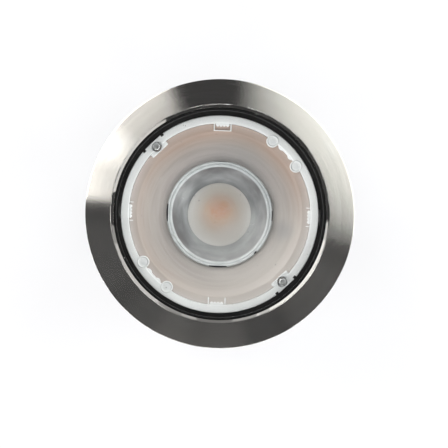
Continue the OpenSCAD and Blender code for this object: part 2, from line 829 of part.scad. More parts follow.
module spring_screws() {
    color([0.7, 0.7, 0.72])
        around(spring_angles)
        translate([anchor_r + spring_t, 0, anchor_top_z - anchor_h / 2])
        rotate([0, 90, 0])
        pan_screw(screw_r, short_screw_l, spring_screw_head_r, spring_screw_head_h);
}

// The free blade of one spring, leaning out to its curled tip
module spring_blade(angle) {
    foot = anchor_r;
    tip = spring_reach - spring_t;
    top_z = hinge_z + spring_len;
    curl = 2.4;
    color([0.78, 0.78, 0.79])
        rotate([0, 0, angle])
        radial_plate([[foot, hinge_z], [foot + spring_t, hinge_z], [tip + spring_t, top_z - curl],
            [tip + spring_t - 0.3, top_z - curl / 2], [tip - 0.5, top_z], [tip - 0.9, top_z - spring_t],
            [tip - 0.2, top_z - curl / 2 - 0.3], [tip, top_z - curl]], spring_w);
}

module retaining_spring_1() {
    spring_blade(spring_angles[0]);
}

module retaining_spring_2() {
    spring_blade(spring_angles[1]);
}

module retaining_spring_3() {
    spring_blade(spring_angles[2]);
}

// Bent sheet yoke: a base that turns on the bolt, and two arms that carry the lamp head
module swivel_yoke() {
    out = yoke_half + yoke_t;
    bend = 4;
    arm_top_z = pivot_z + yoke_w / 2;
    color([0.7, 0.7, 0.72])
        aimed()
        difference() {
            union() {
                intersection() {
                    translate([0, yoke_w / 2, 0])
                        rotate([90, 0, 0])
                        linear_extrude(yoke_w)
                        polygon(concat(
                            [[-out, arm_top_z]],
                            arc([bend - out, yoke_low_z + bend], bend, 180, 270, 6),
                            arc([out - bend, yoke_low_z + bend], bend, 270, 360, 6),
                            [[out, arm_top_z], [yoke_half, arm_top_z]],
                            arc([out - bend, yoke_low_z + bend], bend - yoke_t, 360, 270, 6),
                            arc([bend - out, yoke_low_z + bend], bend - yoke_t, 270, 180, 6),
                            [[-yoke_half, arm_top_z]]));
                    union() {
                        translate([-out - 1, -yoke_w / 2 - 1, yoke_low_z - 1])
                            cube([2 * out + 2, yoke_w + 2, pivot_z - yoke_low_z + 1]);
                        translate([-out - 1, 0, pivot_z])
                            rotate([0, 90, 0])
                            cylinder(r = yoke_w / 2, h = 2 * out + 2);
                    }
                }
                translate([0, 0, yoke_low_z]) cylinder(r = yoke_hub_r, h = yoke_t);
                // the tongue that meets the stop
                translate([-2, -stop_ring - 2, yoke_low_z]) cube([4, stop_ring, yoke_t]);
                translate([-2, -stop_ring - 2, yoke_low_z - stop_h]) cube([4, 1.5, stop_h + eps]);
            }
            translate([0, 0, yoke_low_z - 2]) cylinder(r = bolt_r + pin_gap, h = yoke_t + 4);
            translate([-out - 1, 0, pivot_z])
                rotate([0, 90, 0])
                cylinder(r = tilt_pin_r + pin_gap, h = 2 * out + 2);
            // lightening holes in the base
            for (side = [-1, 1])
                translate([side * yoke_hole_x, 0, yoke_low_z - 1])
                    cylinder(r = yoke_hole_r, h = yoke_t + 2);
        }
}

// A boss on the holder's ring that reaches in over the lens
module holder_boss(angle) {
    rotate([0, 0, angle])
        translate([holder_in_r - 0.4, 0, lens_top_z + fit_gap])
        cylinder(r = 2.7, h = holder_top_z - detail_step / 2 - lens_top_z - fit_gap);
}

// White ring that snaps over the lens, with the lugs that the lamp head tilts on
module lens_holder() {
    boss_spread = 12;
    notch_spread = 7;
    tab_low_z = lens_top_z + fit_gap;
    tab_h = holder_top_z - detail_step - tab_low_z;
    color([0.93, 0.94, 0.95])
        aimed()
        difference() {
            union() {
                rotate_extrude()
                    polygon([[holder_in_r, holder_top_z], [holder_r - 0.5, holder_top_z],
                        [holder_r, holder_top_z - 0.5], [holder_r, holder_low_z],
                        [lens_r + lens_side_gap, holder_low_z], [lens_r + lens_side_gap, holder_seat_z],
                        [holder_in_r, holder_seat_z]]);
                // snap clips
                around([0, 90, 180, 270])
                    translate([clip_r, -clip_w / 2, tab_low_z])
                    cube([holder_in_r - clip_r + 1, clip_w, tab_h]);
                // two pairs of bosses, each pair joined by a web
                for (middle = [45, 225]) {
                    for (side = [-1, 1]) holder_boss(middle + side * boss_spread);
                    intersection() {
                        ring(holder_in_r + 1, clip_r, tab_low_z, holder_top_z - 0.6);
                        rotate([0, 0, middle])
                            translate([0, -8, tab_low_z])
                            cube([holder_r, 16, holder_h]);
                    }
                }
                // flat tongues round the two screws, each on a pillar
                around([135, 315]) {
                    translate([holder_screw_ring - 2.7, -4.8, tab_low_z])
                        cube([4, 9.6, tab_h - detail_step]);
                    translate([holder_screw_ring, 0, holder_low_z])
                        cylinder(r = holder_pillar_r, h = holder_top_z - 3 * detail_step - holder_low_z);
                }
                // lugs for the tilt screws
                around([0, 180])
                    difference() {
                        union() {
                            translate([tilt_lug_in, -tilt_lug_r, pivot_z])
                                cube([tilt_lug_out - tilt_lug_in, 2 * tilt_lug_r,
                                    holder_low_z - pivot_z + eps]);
                            translate([tilt_lug_in, 0, pivot_z])
                                rotate([0, 90, 0])
                                cylinder(r = tilt_lug_r, h = tilt_lug_out - tilt_lug_in);
                        }
                        translate([tilt_lug_in - 1, 0, pivot_z])
                            rotate([0, 90, 0])
                            cylinder(r = tilt_pin_r + tap_gap, h = tilt_lug_out - tilt_lug_in + 2);
                    }
            }
            // notches beside the tongues
            around([135 - notch_spread, 135 + notch_spread, 315 - notch_spread, 315 + notch_spread])
                translate([holder_r - 0.9, -0.8, holder_top_z - 2])
                cube([2, 1.6, 3]);
            // screw holes with their counterbores
            around([135, 315])
                translate([holder_screw_ring, 0, 0]) {
                    translate([0, 0, holder_low_z - 1]) cylinder(r = holder_screw_r + 0.15, h = 8);
                    translate([0, 0, holder_top_z - 2])
                        cylinder(r = holder_screw_head_r + fit_gap, h = 4);
                }
        }
}

// Collimating lens: flange, dished front, front well for the collar and curved outer side
module tir_lens() {
    steps = 14;
    well_gap = 0.15;
    well_top_r = collar_in_r + collar_wall + well_gap;
    well_foot_r = collar_foot_r + collar_wall + well_gap;
    well_z = collar_foot_z - well_gap;
    neck_h = 2.4;
    side_h = lens_h - neck_h - holder_seat_t;
    cavity_r = chip_r + 1.4;
    color([0.86, 0.8, 0.76, 0.9])
        aimed()
        difference() {
            union() {
                rotate_extrude()
                    polygon(concat(
                        [[0, lens_low_z + 6], [cavity_r - 1, lens_low_z + 6], [cavity_r, lens_low_z],
                            [lens_neck_r, lens_low_z]],
                        [for (i = [0:steps]) [lens_side_r(i / steps),
                            lens_low_z + neck_h + side_h * i / steps]],
                        [[lens_r, holder_seat_z], [holder_in_r - 0.15, holder_seat_z],
                            [holder_in_r - 0.15, lens_top_z], [lens_r - 0.6, lens_top_z],
                            [collar_r + 0.5, lens_top_z - lens_dish],
                            [collar_r + well_gap, collar_seat_z], [well_top_r, collar_seat_z],
                            [well_foot_r, well_z], [well_foot_r * 0.7, well_z + 0.7],
                            [well_foot_r * 0.35, well_z + 1.1], [2, well_z + 1.25],
                            [0, well_z + 1.25]]));
                // low frames that the clips snap over
                around([0, 90, 180, 270])
                    difference() {
                        translate([lens_r - 0.8, -3.5, lens_top_z - eps]) cube([2.4, 7, 0.4]);
                        translate([lens_r - 0.3, -3, lens_top_z - 0.5]) cube([3, 6, 2]);
                    }
            }
            // key notches for the holder's pillars
            around([135, 315])
                translate([holder_screw_ring, 0, holder_seat_z - 1])
                cylinder(r = holder_pillar_r + 0.2, h = lens_flange_t + 2);
        }
}

// Anti-glare collar in the lens's well: a slotted rim on a thin cone
module lens_collar() {
    step_z = collar_seat_z;
    color([0.62, 0.64, 0.66])
        aimed()
        difference() {
            rotate_extrude()
                polygon([[collar_in_r, collar_top_z - 0.3], [collar_in_r + 0.3, collar_top_z],
                    [collar_r - 0.4, collar_top_z], [collar_r, collar_top_z - 0.4], [collar_r, step_z],
                    [collar_in_r + collar_wall, step_z], [collar_foot_r + collar_wall, collar_foot_z],
                    [collar_foot_r, collar_foot_z]]);
            around([0, 90, 180, 270])
                translate([collar_r - 1.5, -3.6, collar_top_z - 1.1])
                cube([0.9, 7.2, 3]);
            rotate([0, 0, -45])
                translate([collar_r - 0.7, -0.7, collar_top_z - 1])
                cube([2, 1.4, 3]);
        }
}

// Plastic clamp that holds the board down and centres the lens's neck
module light_source_holder() {
    pocket = board_w + 2 * fit_gap;
    color([0.9, 0.9, 0.9])
        aimed()
        difference() {
            translate([0, 0, sink_top_z])
                rotate_extrude()
                polygon([[0, 0], [source_holder_r, 0],
                    [source_holder_r, source_holder_h - source_holder_edge],
                    [source_holder_r - source_holder_edge, source_holder_h], [0, source_holder_h]]);
            translate([0, 0, lens_low_z])
                cylinder(r = lens_neck_r + 0.2, h = source_holder_h);
            translate([0, 0, sink_top_z - 1]) cylinder(r = chip_r + 1.4, h = source_holder_h + 2);
            translate([-pocket / 2, -pocket / 2, sink_top_z - 1])
                cube([pocket, pocket, 1 + pad_t + board_t]);
            around([45, 225])
                translate([source_screw_ring, 0, sink_top_z - 1]) {
                    cylinder(r = screw_r + fit_gap, h = source_holder_h + 2);
                    translate([0, 0, source_holder_h + 1 - source_screw_sink])
                        cylinder(r = screw_head_r, h = source_screw_sink + 1);
                }
        }
}

module light_source_screws() {
    color([0.75, 0.75, 0.76])
        aimed()
        around([45, 225])
        translate([source_screw_ring, 0, sink_top_z + source_holder_h - source_screw_sink])
        pan_screw(screw_r, source_holder_h - source_screw_sink + sink_base_t - 1, screw_head_r - fit_gap,
            screw_head_h);
}

module light_source_board() {
    color([0.9, 0.9, 0.88])
        aimed()
        translate([-board_w / 2, -board_w / 2, sink_top_z + pad_t])
        cube([board_w, board_w, board_t]);
}

module light_source_disc() {
    color([0.95, 0.62, 0.25])
        aimed()
        translate([0, 0, sink_top_z + pad_t + board_t])
        rotate_extrude()
        polygon([[0, 0], [chip_r, 0], [chip_r, 0.4], [chip_r - 0.3, 0.6], [0, 0.6]]);
}

module thermal_pad() {
    color([0.55, 0.6, 0.65])
        aimed()
        translate([-board_w / 2, -board_w / 2, sink_top_z])
        cube([board_w, board_w, pad_t]);
}

// Cast heat sink: base, parallel fins and the two posts that carry the lens holder
module heat_sink() {
    half_count = floor((sink_r - 4) / sink_fin_pitch);
    color([0.55, 0.56, 0.58])
        aimed()
        difference() {
            union() {
                translate([0, 0, sink_top_z - sink_base_t])
                    rotate_extrude()
                    polygon([[0, 0], [sink_r, 0], [sink_r, sink_base_t - 0.8],
                        [sink_r - 0.8, sink_base_t], [0, sink_base_t]]);
                intersection() {
                    union() {
                        for (i = [-half_count:half_count])
                            translate([-sink_r, i * sink_fin_pitch - sink_fin_t / 2, sink_low_z])
                                cube([2 * sink_r, sink_fin_t, sink_fin_h + eps]);
                    }
                    translate([0, 0, sink_low_z - 1]) cylinder(r = sink_r, h = sink_fin_h + 2);
                }
                around([135, 315]) {
                    translate([holder_screw_ring, 0, sink_top_z - 2.5])
                        cylinder(r = lobe_r, h = holder_low_z - sink_top_z + 2.5);
                    translate([sink_r - 4, -lobe_r, sink_top_z - 2.5])
                        cube([holder_screw_ring - sink_r + 4, 2 * lobe_r, 2.5]);
                }
            }
            around([135, 315])
                translate([holder_screw_ring, 0, holder_low_z - 9])
                cylinder(r = holder_screw_r + tap_gap, h = 10);
            around([45, 225])
                translate([source_screw_ring, 0, sink_top_z - sink_base_t - 1])
                cylinder(r = screw_r + tap_gap, h = sink_base_t + 2);
        }
}

module holder_screws() {
    color([0.35, 0.35, 0.36])
        aimed()
        around([135, 315])
        translate([holder_screw_ring, 0, holder_top_z - 2])
        pan_screw(holder_screw_r, holder_screw_l, holder_screw_head_r, holder_screw_head_h);
}

// Shoulder screws that the lamp head tilts on, their heads outside the yoke's arms
module tilt_screws() {
    head_x = yoke_half + yoke_t + run_gap;
    color([0.75, 0.75, 0.76])
        aimed()
        around([0, 180])
        translate([0, 0, pivot_z])
        rotate([0, 90, 0])
        difference() {
            union() {
                translate([0, 0, tilt_lug_in - 1])
                    cylinder(r = tilt_pin_r, h = head_x - tilt_lug_in + 1 + eps);
                translate([0, 0, head_x]) cylinder(r = tilt_head_r, h = tilt_head_h);
            }
            translate([0, 0, head_x + tilt_head_h - 0.9]) cylinder(r = 1.5, h = 2, $fn = 6);
        }
}

module tilt_washers() {
    color([0.9, 0.88, 0.82])
        aimed()
        around([0, 180])
        translate([tilt_lug_out, 0, pivot_z])
        rotate([0, 90, 0])
        difference() {
            cylinder(r = tilt_lug_r - 0.5, h = tilt_washer_t);
            translate([0, 0, -1]) cylinder(r = tilt_pin_r + tap_gap, h = 3);
        }
}

bezel_ring();
cover_glass();
glass_gasket();
housing_rim();
housing();
chamber_floor();
stop_pin();
driver_box();
cover_flange();
spring_bosses();
cooling_ribs();
swivel_bolt();
swivel_nut();
spring_washer();
friction_washer();
driver_case();
driver_potting();
driver_screws();
terminal_block();
terminal_screws();
earth_screw();
bottom_cover();
cover_seal();
cover_screws();
gland_body();
gland_washer();
gland_seal();
gland_nut();
gland_locknut();
vent_plug();
spring_anchors();
spring_screws();
retaining_spring_1();
retaining_spring_2();
retaining_spring_3();
swivel_yoke();
lens_holder();
tir_lens();
lens_collar();
light_source_holder();
light_source_screws();
light_source_board();
light_source_disc();
thermal_pad();
heat_sink();
holder_screws();
tilt_screws();
tilt_washers();
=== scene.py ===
# %% [markdown]
# # An in-ground spotlight, dressed on its CAD frame
# The lamp's frame was built in CAD and packed. This lesson loads it, models again in finer form
# the pieces that the eye rests on, gives every piece its finish, and sets up the light and the
# camera. Everything is in metres, in the CAD's own axes: the ground plane is z = 0 and up is +z.

# %% The frame
import json
import math

import bmesh
import bpy
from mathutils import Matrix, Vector


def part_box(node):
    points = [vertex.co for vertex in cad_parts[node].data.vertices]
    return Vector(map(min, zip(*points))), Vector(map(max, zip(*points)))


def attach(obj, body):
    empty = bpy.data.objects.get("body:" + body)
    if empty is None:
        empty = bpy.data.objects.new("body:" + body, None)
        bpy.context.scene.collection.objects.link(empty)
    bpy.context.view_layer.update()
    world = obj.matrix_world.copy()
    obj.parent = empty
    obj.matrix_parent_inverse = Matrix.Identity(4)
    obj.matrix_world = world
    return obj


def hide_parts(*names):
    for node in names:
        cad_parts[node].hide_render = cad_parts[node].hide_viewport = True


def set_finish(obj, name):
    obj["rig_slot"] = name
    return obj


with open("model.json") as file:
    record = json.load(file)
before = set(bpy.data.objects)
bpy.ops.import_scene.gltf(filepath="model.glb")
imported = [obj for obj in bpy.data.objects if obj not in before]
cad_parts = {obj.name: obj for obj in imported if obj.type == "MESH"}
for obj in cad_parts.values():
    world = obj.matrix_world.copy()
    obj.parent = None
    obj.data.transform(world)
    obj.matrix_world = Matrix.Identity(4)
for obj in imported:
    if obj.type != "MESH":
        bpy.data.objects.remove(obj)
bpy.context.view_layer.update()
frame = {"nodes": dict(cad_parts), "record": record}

MM = 0.001
nodes = frame["nodes"]

# %% [markdown]
# Sizes come from the frame where it can give them. The few that it can't, such as the width of a
# lip inside another piece, are named here once, in millimetres.

# %% Sizes
bezel_low, bezel_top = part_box("bezel_ring")
glass_low, glass_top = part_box("cover_glass")
gasket_low, gasket_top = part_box("glass_gasket")
collar_low, collar_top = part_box("lens_collar")
holder_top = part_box("lens_holder")[1]
lens_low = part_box("tir_lens")[0]
disc_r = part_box("light_source_disc")[1].x
stand_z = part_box("bottom_cover")[0].z

bezel_r = bezel_top.x
glass_r = glass_top.x
gasket_r = gasket_top.x
opening_r = glass_r - 1.7 * MM
holder_r = 42.0 * MM
holder_in_r = holder_r - 3.4 * MM
holder_seat_z = holder_top.z - 3.0 * MM
holder_foot_z = holder_seat_z - 1.4 * MM
lens_r = holder_in_r - 2.8 * MM
lens_top_z = holder_seat_z + 1.5 * MM
collar_r = 22.6 * MM
collar_in_r = 20.2 * MM
collar_foot_r = 13.6 * MM
collar_seat_z = lens_top_z - 2.4 * MM
head_turn = math.radians(-2)
print(f"bezel {2 * bezel_r / MM:.1f} mm, glass {2 * glass_r / MM:.1f} mm, "
      f"holder at {holder_top.z / MM:.2f} mm")

# %% [markdown]
# ## Tools for the bench
# Two habits keep operators safe in a script: deselect everything before a primitive is added, and
# pick vertices, edges or faces by their place instead of by their number.

# %% Selecting by place
SMOOTH_ANGLE = 35  # degrees: corners sharper than this stay crisp
NEAR = 1e-6  # metres: closer than this counts as being at a place


def fresh(name, add, **settings):
    """Adds a primitive with nothing else selected, opens it in edit mode and returns it."""
    bpy.ops.object.select_all(action="DESELECT")
    add(**settings)
    piece = bpy.context.object
    piece.name = name
    bpy.ops.object.mode_set(mode="EDIT")
    bpy.ops.mesh.select_mode(type="VERT")
    bpy.ops.mesh.select_all(action="SELECT")
    return piece


def pick(piece, test, kind="VERT"):
    """Selects what passes a test on its middle, and nothing else."""
    bpy.ops.mesh.select_mode(type=kind)
    bpy.ops.mesh.select_all(action="DESELECT")
    mesh = bmesh.from_edit_mesh(piece.data)
    items = {"VERT": mesh.verts, "EDGE": mesh.edges, "FACE": mesh.faces}[kind]
    for item in items:
        points = [item.co] if kind == "VERT" else [v.co for v in item.verts]
        if test(sum(points, Vector()) / len(points)):
            item.select_set(True)
    mesh.select_flush_mode()
    bmesh.update_edit_mesh(piece.data)


def done(piece, smooth=SMOOTH_ANGLE):
    """Leaves edit mode, bakes the object's place into its mesh and shades it smooth by angle."""
    bpy.ops.object.mode_set(mode="OBJECT")
    bpy.ops.object.select_all(action="DESELECT")
    piece.select_set(True)
    bpy.context.view_layer.objects.active = piece
    bpy.ops.object.transform_apply(location=True, rotation=True, scale=True)
    bpy.ops.object.shade_smooth_by_angle(angle=math.radians(smooth))
    return piece


def joined(name, pieces):
    """Joins pieces into the first one."""
    bpy.ops.object.select_all(action="DESELECT")
    for piece in pieces:
        piece.select_set(True)
    bpy.context.view_layer.objects.active = pieces[0]
    bpy.ops.object.join()
    pieces[0].name = name
    return pieces[0]


print("bench tools ready")

# %% [markdown]
# ## The lathe
# Most of this lamp is turned or moulded round, so one tool makes those pieces: a single vertex is
# extruded from corner to corner of the half section, the corners that a cutter or a mould would
# round are beveled, and the outline is spun about the lamp's axis. A half section on paper is how
# a turner reads such a piece too, which is why this beats stacking cylinders.

# %% Turning an outline
LATHE_STEPS = 240
ON_AXIS = 1e-9  # metres: nearer to the axis than this counts as on it
WELD = 1e-7  # metres: corners closer together than this become one


def turned(name, corners, steps=LATHE_STEPS, smooth=SMOOTH_ANGLE):
    """Spins an outline of (radius, height, rounding) corners about the z axis."""
    piece = fresh(name, bpy.ops.mesh.primitive_plane_add, size=MM)
    bpy.ops.mesh.merge(type="CENTER")
    here = Vector((0, 0, 0))
    for number, (radius, height, _) in enumerate(corners):
        step = Vector((radius, 0, height)) - here
        if number:
            bpy.ops.mesh.extrude_vertices_move(TRANSFORM_OT_translate={"value": step})
        else:
            bpy.ops.transform.translate(value=step)
        here += step
    bpy.ops.mesh.select_all(action="SELECT")
    bpy.ops.mesh.edge_face_add()
    for radius, height, rounding in corners:
        if rounding:
            corner = Vector((radius, 0, height))
            pick(piece, lambda place: (place - corner).length < NEAR)
            bpy.ops.mesh.bevel(offset=rounding, offset_type="OFFSET", segments=5,
                               affect="VERTICES")
    bpy.ops.mesh.select_all(action="SELECT")
    bpy.ops.mesh.delete(type="ONLY_FACE")
    if corners[0][0] == 0 and corners[-1][0] == 0:
        pick(piece, lambda place: abs(place.x) < ON_AXIS, "EDGE")
        bpy.ops.mesh.delete(type="EDGE")
        bpy.ops.mesh.select_mode(type="VERT")
    bpy.ops.mesh.select_all(action="SELECT")
    bpy.ops.mesh.spin(steps=steps, angle=2 * math.pi, center=(0, 0, 0), axis=(0, 0, 1))
    bpy.ops.mesh.select_all(action="SELECT")
    bpy.ops.mesh.remove_doubles(threshold=WELD)
    bpy.ops.mesh.normals_make_consistent(inside=False)
    done(piece, smooth)
    print(f"{name}: {len(piece.data.polygons)} faces")
    return piece


# %% [markdown]
# ## Shader arithmetic
# A material reads better as arithmetic than as a list of links. This small class stands for one
# output of one node, and Python's operators on it add Math nodes. The Finish class builds on it.

# %% Sockets that calculate
class Value:
    """One output socket, which Python can calculate with."""

    def __init__(self, tree, socket):
        self.tree, self.socket = tree, socket

    def math(self, operation, *others):
        node = self.tree.nodes.new("ShaderNodeMath")
        node.operation = operation
        for slot, value in zip(node.inputs, (self, *others)):
            feed(slot, value)
        return Value(self.tree, node.outputs[0])

    def __add__(self, other):
        return self.math("ADD", other)

    def __sub__(self, other):
        return self.math("SUBTRACT", other)

    def __mul__(self, other):
        return self.math("MULTIPLY", other)

    def __truediv__(self, other):
        return self.math("DIVIDE", other)

    def __rsub__(self, other):
        return self * -1 + other

    def above(self, edge, width):
        """0 below an edge, 1 above it, with a soft step of a given width."""
        node = self.tree.nodes.new("ShaderNodeMapRange")
        node.interpolation_type = "SMOOTHSTEP"
        for slot, value in zip(node.inputs, (self, edge - width / 2, edge + width / 2, 0, 1)):
            feed(slot, value)
        return Value(self.tree, node.outputs[0])

    def between(self, low, high, width):
        """1 between two edges and 0 outside them."""
        return self.above(low, width) * (1 - self.above(high, width))


def feed(slot, value):
    """Links a Value to an input, or sets the input to a number or a colour."""
    if isinstance(value, Value):
        value.tree.links.new(value.socket, slot)
    elif isinstance(value, tuple) and len(value) == 3 and slot.type == "RGBA":
        slot.default_value = (*value, 1)
    else:
        slot.default_value = value


def mixed(tree, amount, under, over):
    """A Mix Shader of two shader nodes; the amount is how much of the second one shows."""
    node = tree.nodes.new("ShaderNodeMixShader")
    feed(node.inputs[0], amount)
    tree.links.new(under.outputs[0], node.inputs[1])
    tree.links.new(over.outputs[0], node.inputs[2])
    return node


class Finish:
    """A material with one Principled shader, and the nodes that feed it."""

    def __init__(self, name, constants):
        self.material = bpy.data.materials.new(name)
        self.material.use_nodes = True
        self.tree = self.material.node_tree
        self.shader = self.tree.nodes["Principled BSDF"]
        self.set(constants)
        place = self.tree.nodes.new("ShaderNodeTexCoord").outputs["Object"]
        self.place = Value(self.tree, place)
        self.x, self.y, self.z = (self.split(self.place, i) for i in range(3))

    def set(self, sockets):
        """Feeds inputs of the Principled shader, by their names."""
        for name, value in sockets.items():
            feed(self.shader.inputs[name], value)

    def node(self, kind, settings, inputs, output=0):
        """Adds any node: its settings first, then the values or links of its inputs."""
        node = self.tree.nodes.new("ShaderNode" + kind)
        for key, value in settings.items():
            if key == "stops":
                ramp = node.color_ramp
                for number, (position, colour) in enumerate(value):
                    stop = ramp.elements[number] if number < 2 else ramp.elements.new(position)
                    stop.position, stop.color = position, (*colour, 1)
            else:
                setattr(node, key, value)
        for key, value in inputs.items():
            feed(node.inputs[key], value)
        return Value(self.tree, node.outputs[output])

    def split(self, vector, axis):
        """One coordinate of a vector."""
        return self.node("SeparateXYZ", {}, {0: vector}, axis)

    def vector(self, x, y, z):
        """A vector from three coordinates, for noise that is stretched or squeezed."""
        return self.node("CombineXYZ", {}, {0: x, 1: y, 2: z})

    def radius(self):
        """Distance from the lamp's axis."""
        return (self.x * self.x + self.y * self.y).math("SQRT")

    def facing(self, azimuth, soft=8 * MM):
        """1 on the side that lies towards an azimuth, -1 on the far side, softly between."""
        a = math.radians(azimuth)
        along = self.x * math.cos(a) + self.y * math.sin(a)
        return along / (self.x * self.x + self.y * self.y + soft * soft).math("SQRT")

    def noise(self, scale, detail=3, roughness=0.55, at=None):
        """Noise about its middle value of 0.5; scale is in waves per metre."""
        return self.node("TexNoise", {}, {"Vector": at or self.place, "Scale": scale,
                                          "Detail": detail, "Roughness": roughness})

    def cells(self, scale):
        """Distance to the nearest of many scattered points; scale is in cells per metre."""
        return self.node("TexVoronoi", {"feature": "F1"}, {"Vector": self.place, "Scale": scale})

    def ramp(self, amount, *stops):
        """A colour for an amount, from stops of (position, colour)."""
        return self.node("ValToRGB", {"stops": stops}, {0: amount})

    def blend(self, amount, under, over, mode="MIX"):
        """Mixes two colours; a Mix node keeps its colour inputs in slots 6 and 7."""
        node = self.tree.nodes.new("ShaderNodeMix")
        node.data_type, node.blend_type = "RGBA", mode
        for slot, value in ((0, amount), (6, under), (7, over)):
            feed(node.inputs[slot], value)
        return Value(self.tree, node.outputs[2])

    def bump(self, height, distance, strength=1.0):
        """Turns a height from 0 to 1 into a normal; distance is that height in metres."""
        self.set({"Normal": self.node("Bump", {}, {"Height": height, "Distance": distance,
                                                   "Strength": strength})})


print("shader arithmetic ready")

# %% [markdown]
# ## The bezel
# The real bezel is turned from stainless bar: a broad face that falls away slightly to its rounded
# edge, a chamfer round the glass, a flat lip that presses on the gasket and a threaded skirt that
# screws over the housing's rim. It could be bent from a torus, but its crisp chamfer and the thin
# shadow line under its lip come straight from the turner's section, so it goes on the lathe. A
# cutter never leaves a face quite flat: this one falls slightly more steeply towards its edge, so
# its reflections change a little along the radius. It gets a few corners of its own for that.

# %% The bezel
BEZEL_STEPS = 320
FACE_SHARES = (0.985, 0.85, 0.7, 0.55, 0.4, 0.25, 0.12, 0.03)
chamfer = 1.25 * MM
chamfer_deep = 1.05 * MM
rim_r = 49.0 * MM
skirt_r = rim_r + 2.05 * MM
skirt_in_r = rim_r + 0.05 * MM
relief = 0.3 * MM
relief_z = -2.0 * MM
lip_z = gasket_top.z
face_in_z = bezel_top.z
face_out_z = face_in_z - 0.8 * MM
face_in_r = opening_r + chamfer
crown = bezel_r - 0.35 * MM - face_in_r


def face_z(radius):
    """Height of the crowned face at a radius."""
    share = (radius - face_in_r) / (bezel_r - face_in_r)
    return face_in_z + (face_out_z - face_in_z) * share * (0.94 + 0.06 * share)


face_radii = [face_in_r + crown * share for share in FACE_SHARES]
bezel = turned("bezel", [
    (skirt_in_r, bezel_low.z, 0.3 * MM), (skirt_r, bezel_low.z, 0.4 * MM),
    (skirt_r, relief_z, 0), (skirt_r - relief, relief_z + relief, 0), (skirt_r - relief, 0, 0),
    (bezel_r - 0.1 * MM, 0, 0.15 * MM), (bezel_r, 0.3 * MM, 0.1 * MM),
    (bezel_r, face_out_z, 0.07 * MM), *[(radius, face_z(radius), 0) for radius in face_radii],
    (face_in_r, face_in_z, 0.03 * MM), (opening_r, face_in_z - chamfer_deep, 0.03 * MM),
    (opening_r, lip_z, 0.05 * MM), (skirt_in_r, lip_z, 0)], steps=BEZEL_STEPS)
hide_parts("bezel_ring")
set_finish(bezel, "bezel_steel")
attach(bezel, "root")

# %% [markdown]
# ## The glass and its gasket
# The glass is a tempered disc with ground edges. The gasket is one rubber ring of U section that
# wraps the edge of the glass; only its upper lip shows, as the black line inside the steel.

# %% The glass
glass_disc = turned("glass", [
    (0, glass_low.z, 0), (glass_r, glass_low.z, 0.5 * MM), (glass_r, glass_top.z, 0.5 * MM),
    (0, glass_top.z, 0)])
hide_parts("cover_glass")
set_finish(glass_disc, "glass")
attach(glass_disc, "root")

# %% The gasket
lip_in_r = opening_r - 0.7 * MM
gasket = turned("gasket", [
    (lip_in_r, gasket_top.z, 0.3 * MM), (gasket_r, gasket_top.z, 0),
    (gasket_r, gasket_low.z, 0.2 * MM), (lip_in_r, gasket_low.z, 0.3 * MM),
    (lip_in_r, glass_low.z, 0), (glass_r, glass_low.z, 0), (glass_r, glass_top.z, 0),
    (lip_in_r, glass_top.z, 0.1 * MM)])
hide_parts("glass_gasket")
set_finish(gasket, "black_rubber")
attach(gasket, "root")

# %% [markdown]
# ## The lens holder
# The white ring snaps over the lens. On the real one it is a single moulding: a rounded ring, four
# snap clips, two pairs of round bosses joined by a web, two flat tongues for the screws, and two
# lugs below that the lamp head tilts on. Each feature is modelled once in its own place, copied
# round the ring, and joined.

# %% The holder's ring
lens_gap_r = lens_r + 0.2 * MM
ring = turned("holder_ring", [
    (holder_in_r, holder_top.z, 0.35 * MM), (holder_r, holder_top.z, 0.4 * MM),
    (holder_r, holder_foot_z, 0.3 * MM), (lens_gap_r, holder_foot_z, 0.1 * MM),
    (lens_gap_r, holder_seat_z, 0.1 * MM), (holder_in_r, holder_seat_z, 0.1 * MM)])


# %% Copies round the ring
ROUND_SIDES = 48


def placed(piece, angle):
    """Turns a finished piece about the lamp's axis, with its place kept in its mesh."""
    bpy.ops.object.select_all(action="DESELECT")
    piece.select_set(True)
    bpy.context.view_layer.objects.active = piece
    piece.rotation_euler.z = math.radians(angle)
    bpy.ops.object.transform_apply(location=True, rotation=True, scale=True)
    return piece


def copies(piece, angles):
    """One copy of a piece, with its own mesh, at each angle; the first use is the piece itself."""
    twins = [piece]
    for _ in angles[1:]:
        twin = piece.copy()
        twin.data = piece.data.copy()
        bpy.context.collection.objects.link(twin)
        twins.append(twin)
    return [placed(twin, angle) for twin, angle in zip(twins, angles)]


def block(name, low, high, bevel=0.15 * MM, segments=3):
    """A rectangular block from corner to corner, its edges rounded."""
    low, high = Vector(low), Vector(high)
    piece = fresh(name, bpy.ops.mesh.primitive_cube_add, size=1, location=(low + high) / 2)
    bpy.ops.transform.resize(value=high - low)
    bpy.ops.mesh.select_all(action="SELECT")
    bpy.ops.mesh.bevel(offset=bevel, segments=segments, affect="EDGES")
    return done(piece)


def stud(name, radius, low, high, x, bevel=0.3 * MM):
    """A round stud standing on the x axis, its top edge rounded."""
    piece = fresh(name, bpy.ops.mesh.primitive_cylinder_add, vertices=ROUND_SIDES, radius=radius,
                  depth=high - low, location=(x, 0, (low + high) / 2))
    pick(piece, lambda place: place.z > (high - low) / 2 - NEAR, "EDGE")
    if bevel:
        bpy.ops.mesh.bevel(offset=bevel, segments=4, affect="EDGES")
    return done(piece)


print("bench copies ready")

# %% [markdown]
# A snap clip is a short tab with four small teeth in front of it. Blocks with rounded edges give
# both, placed at azimuth 0 first, because the ring's copies need only be turned from there.

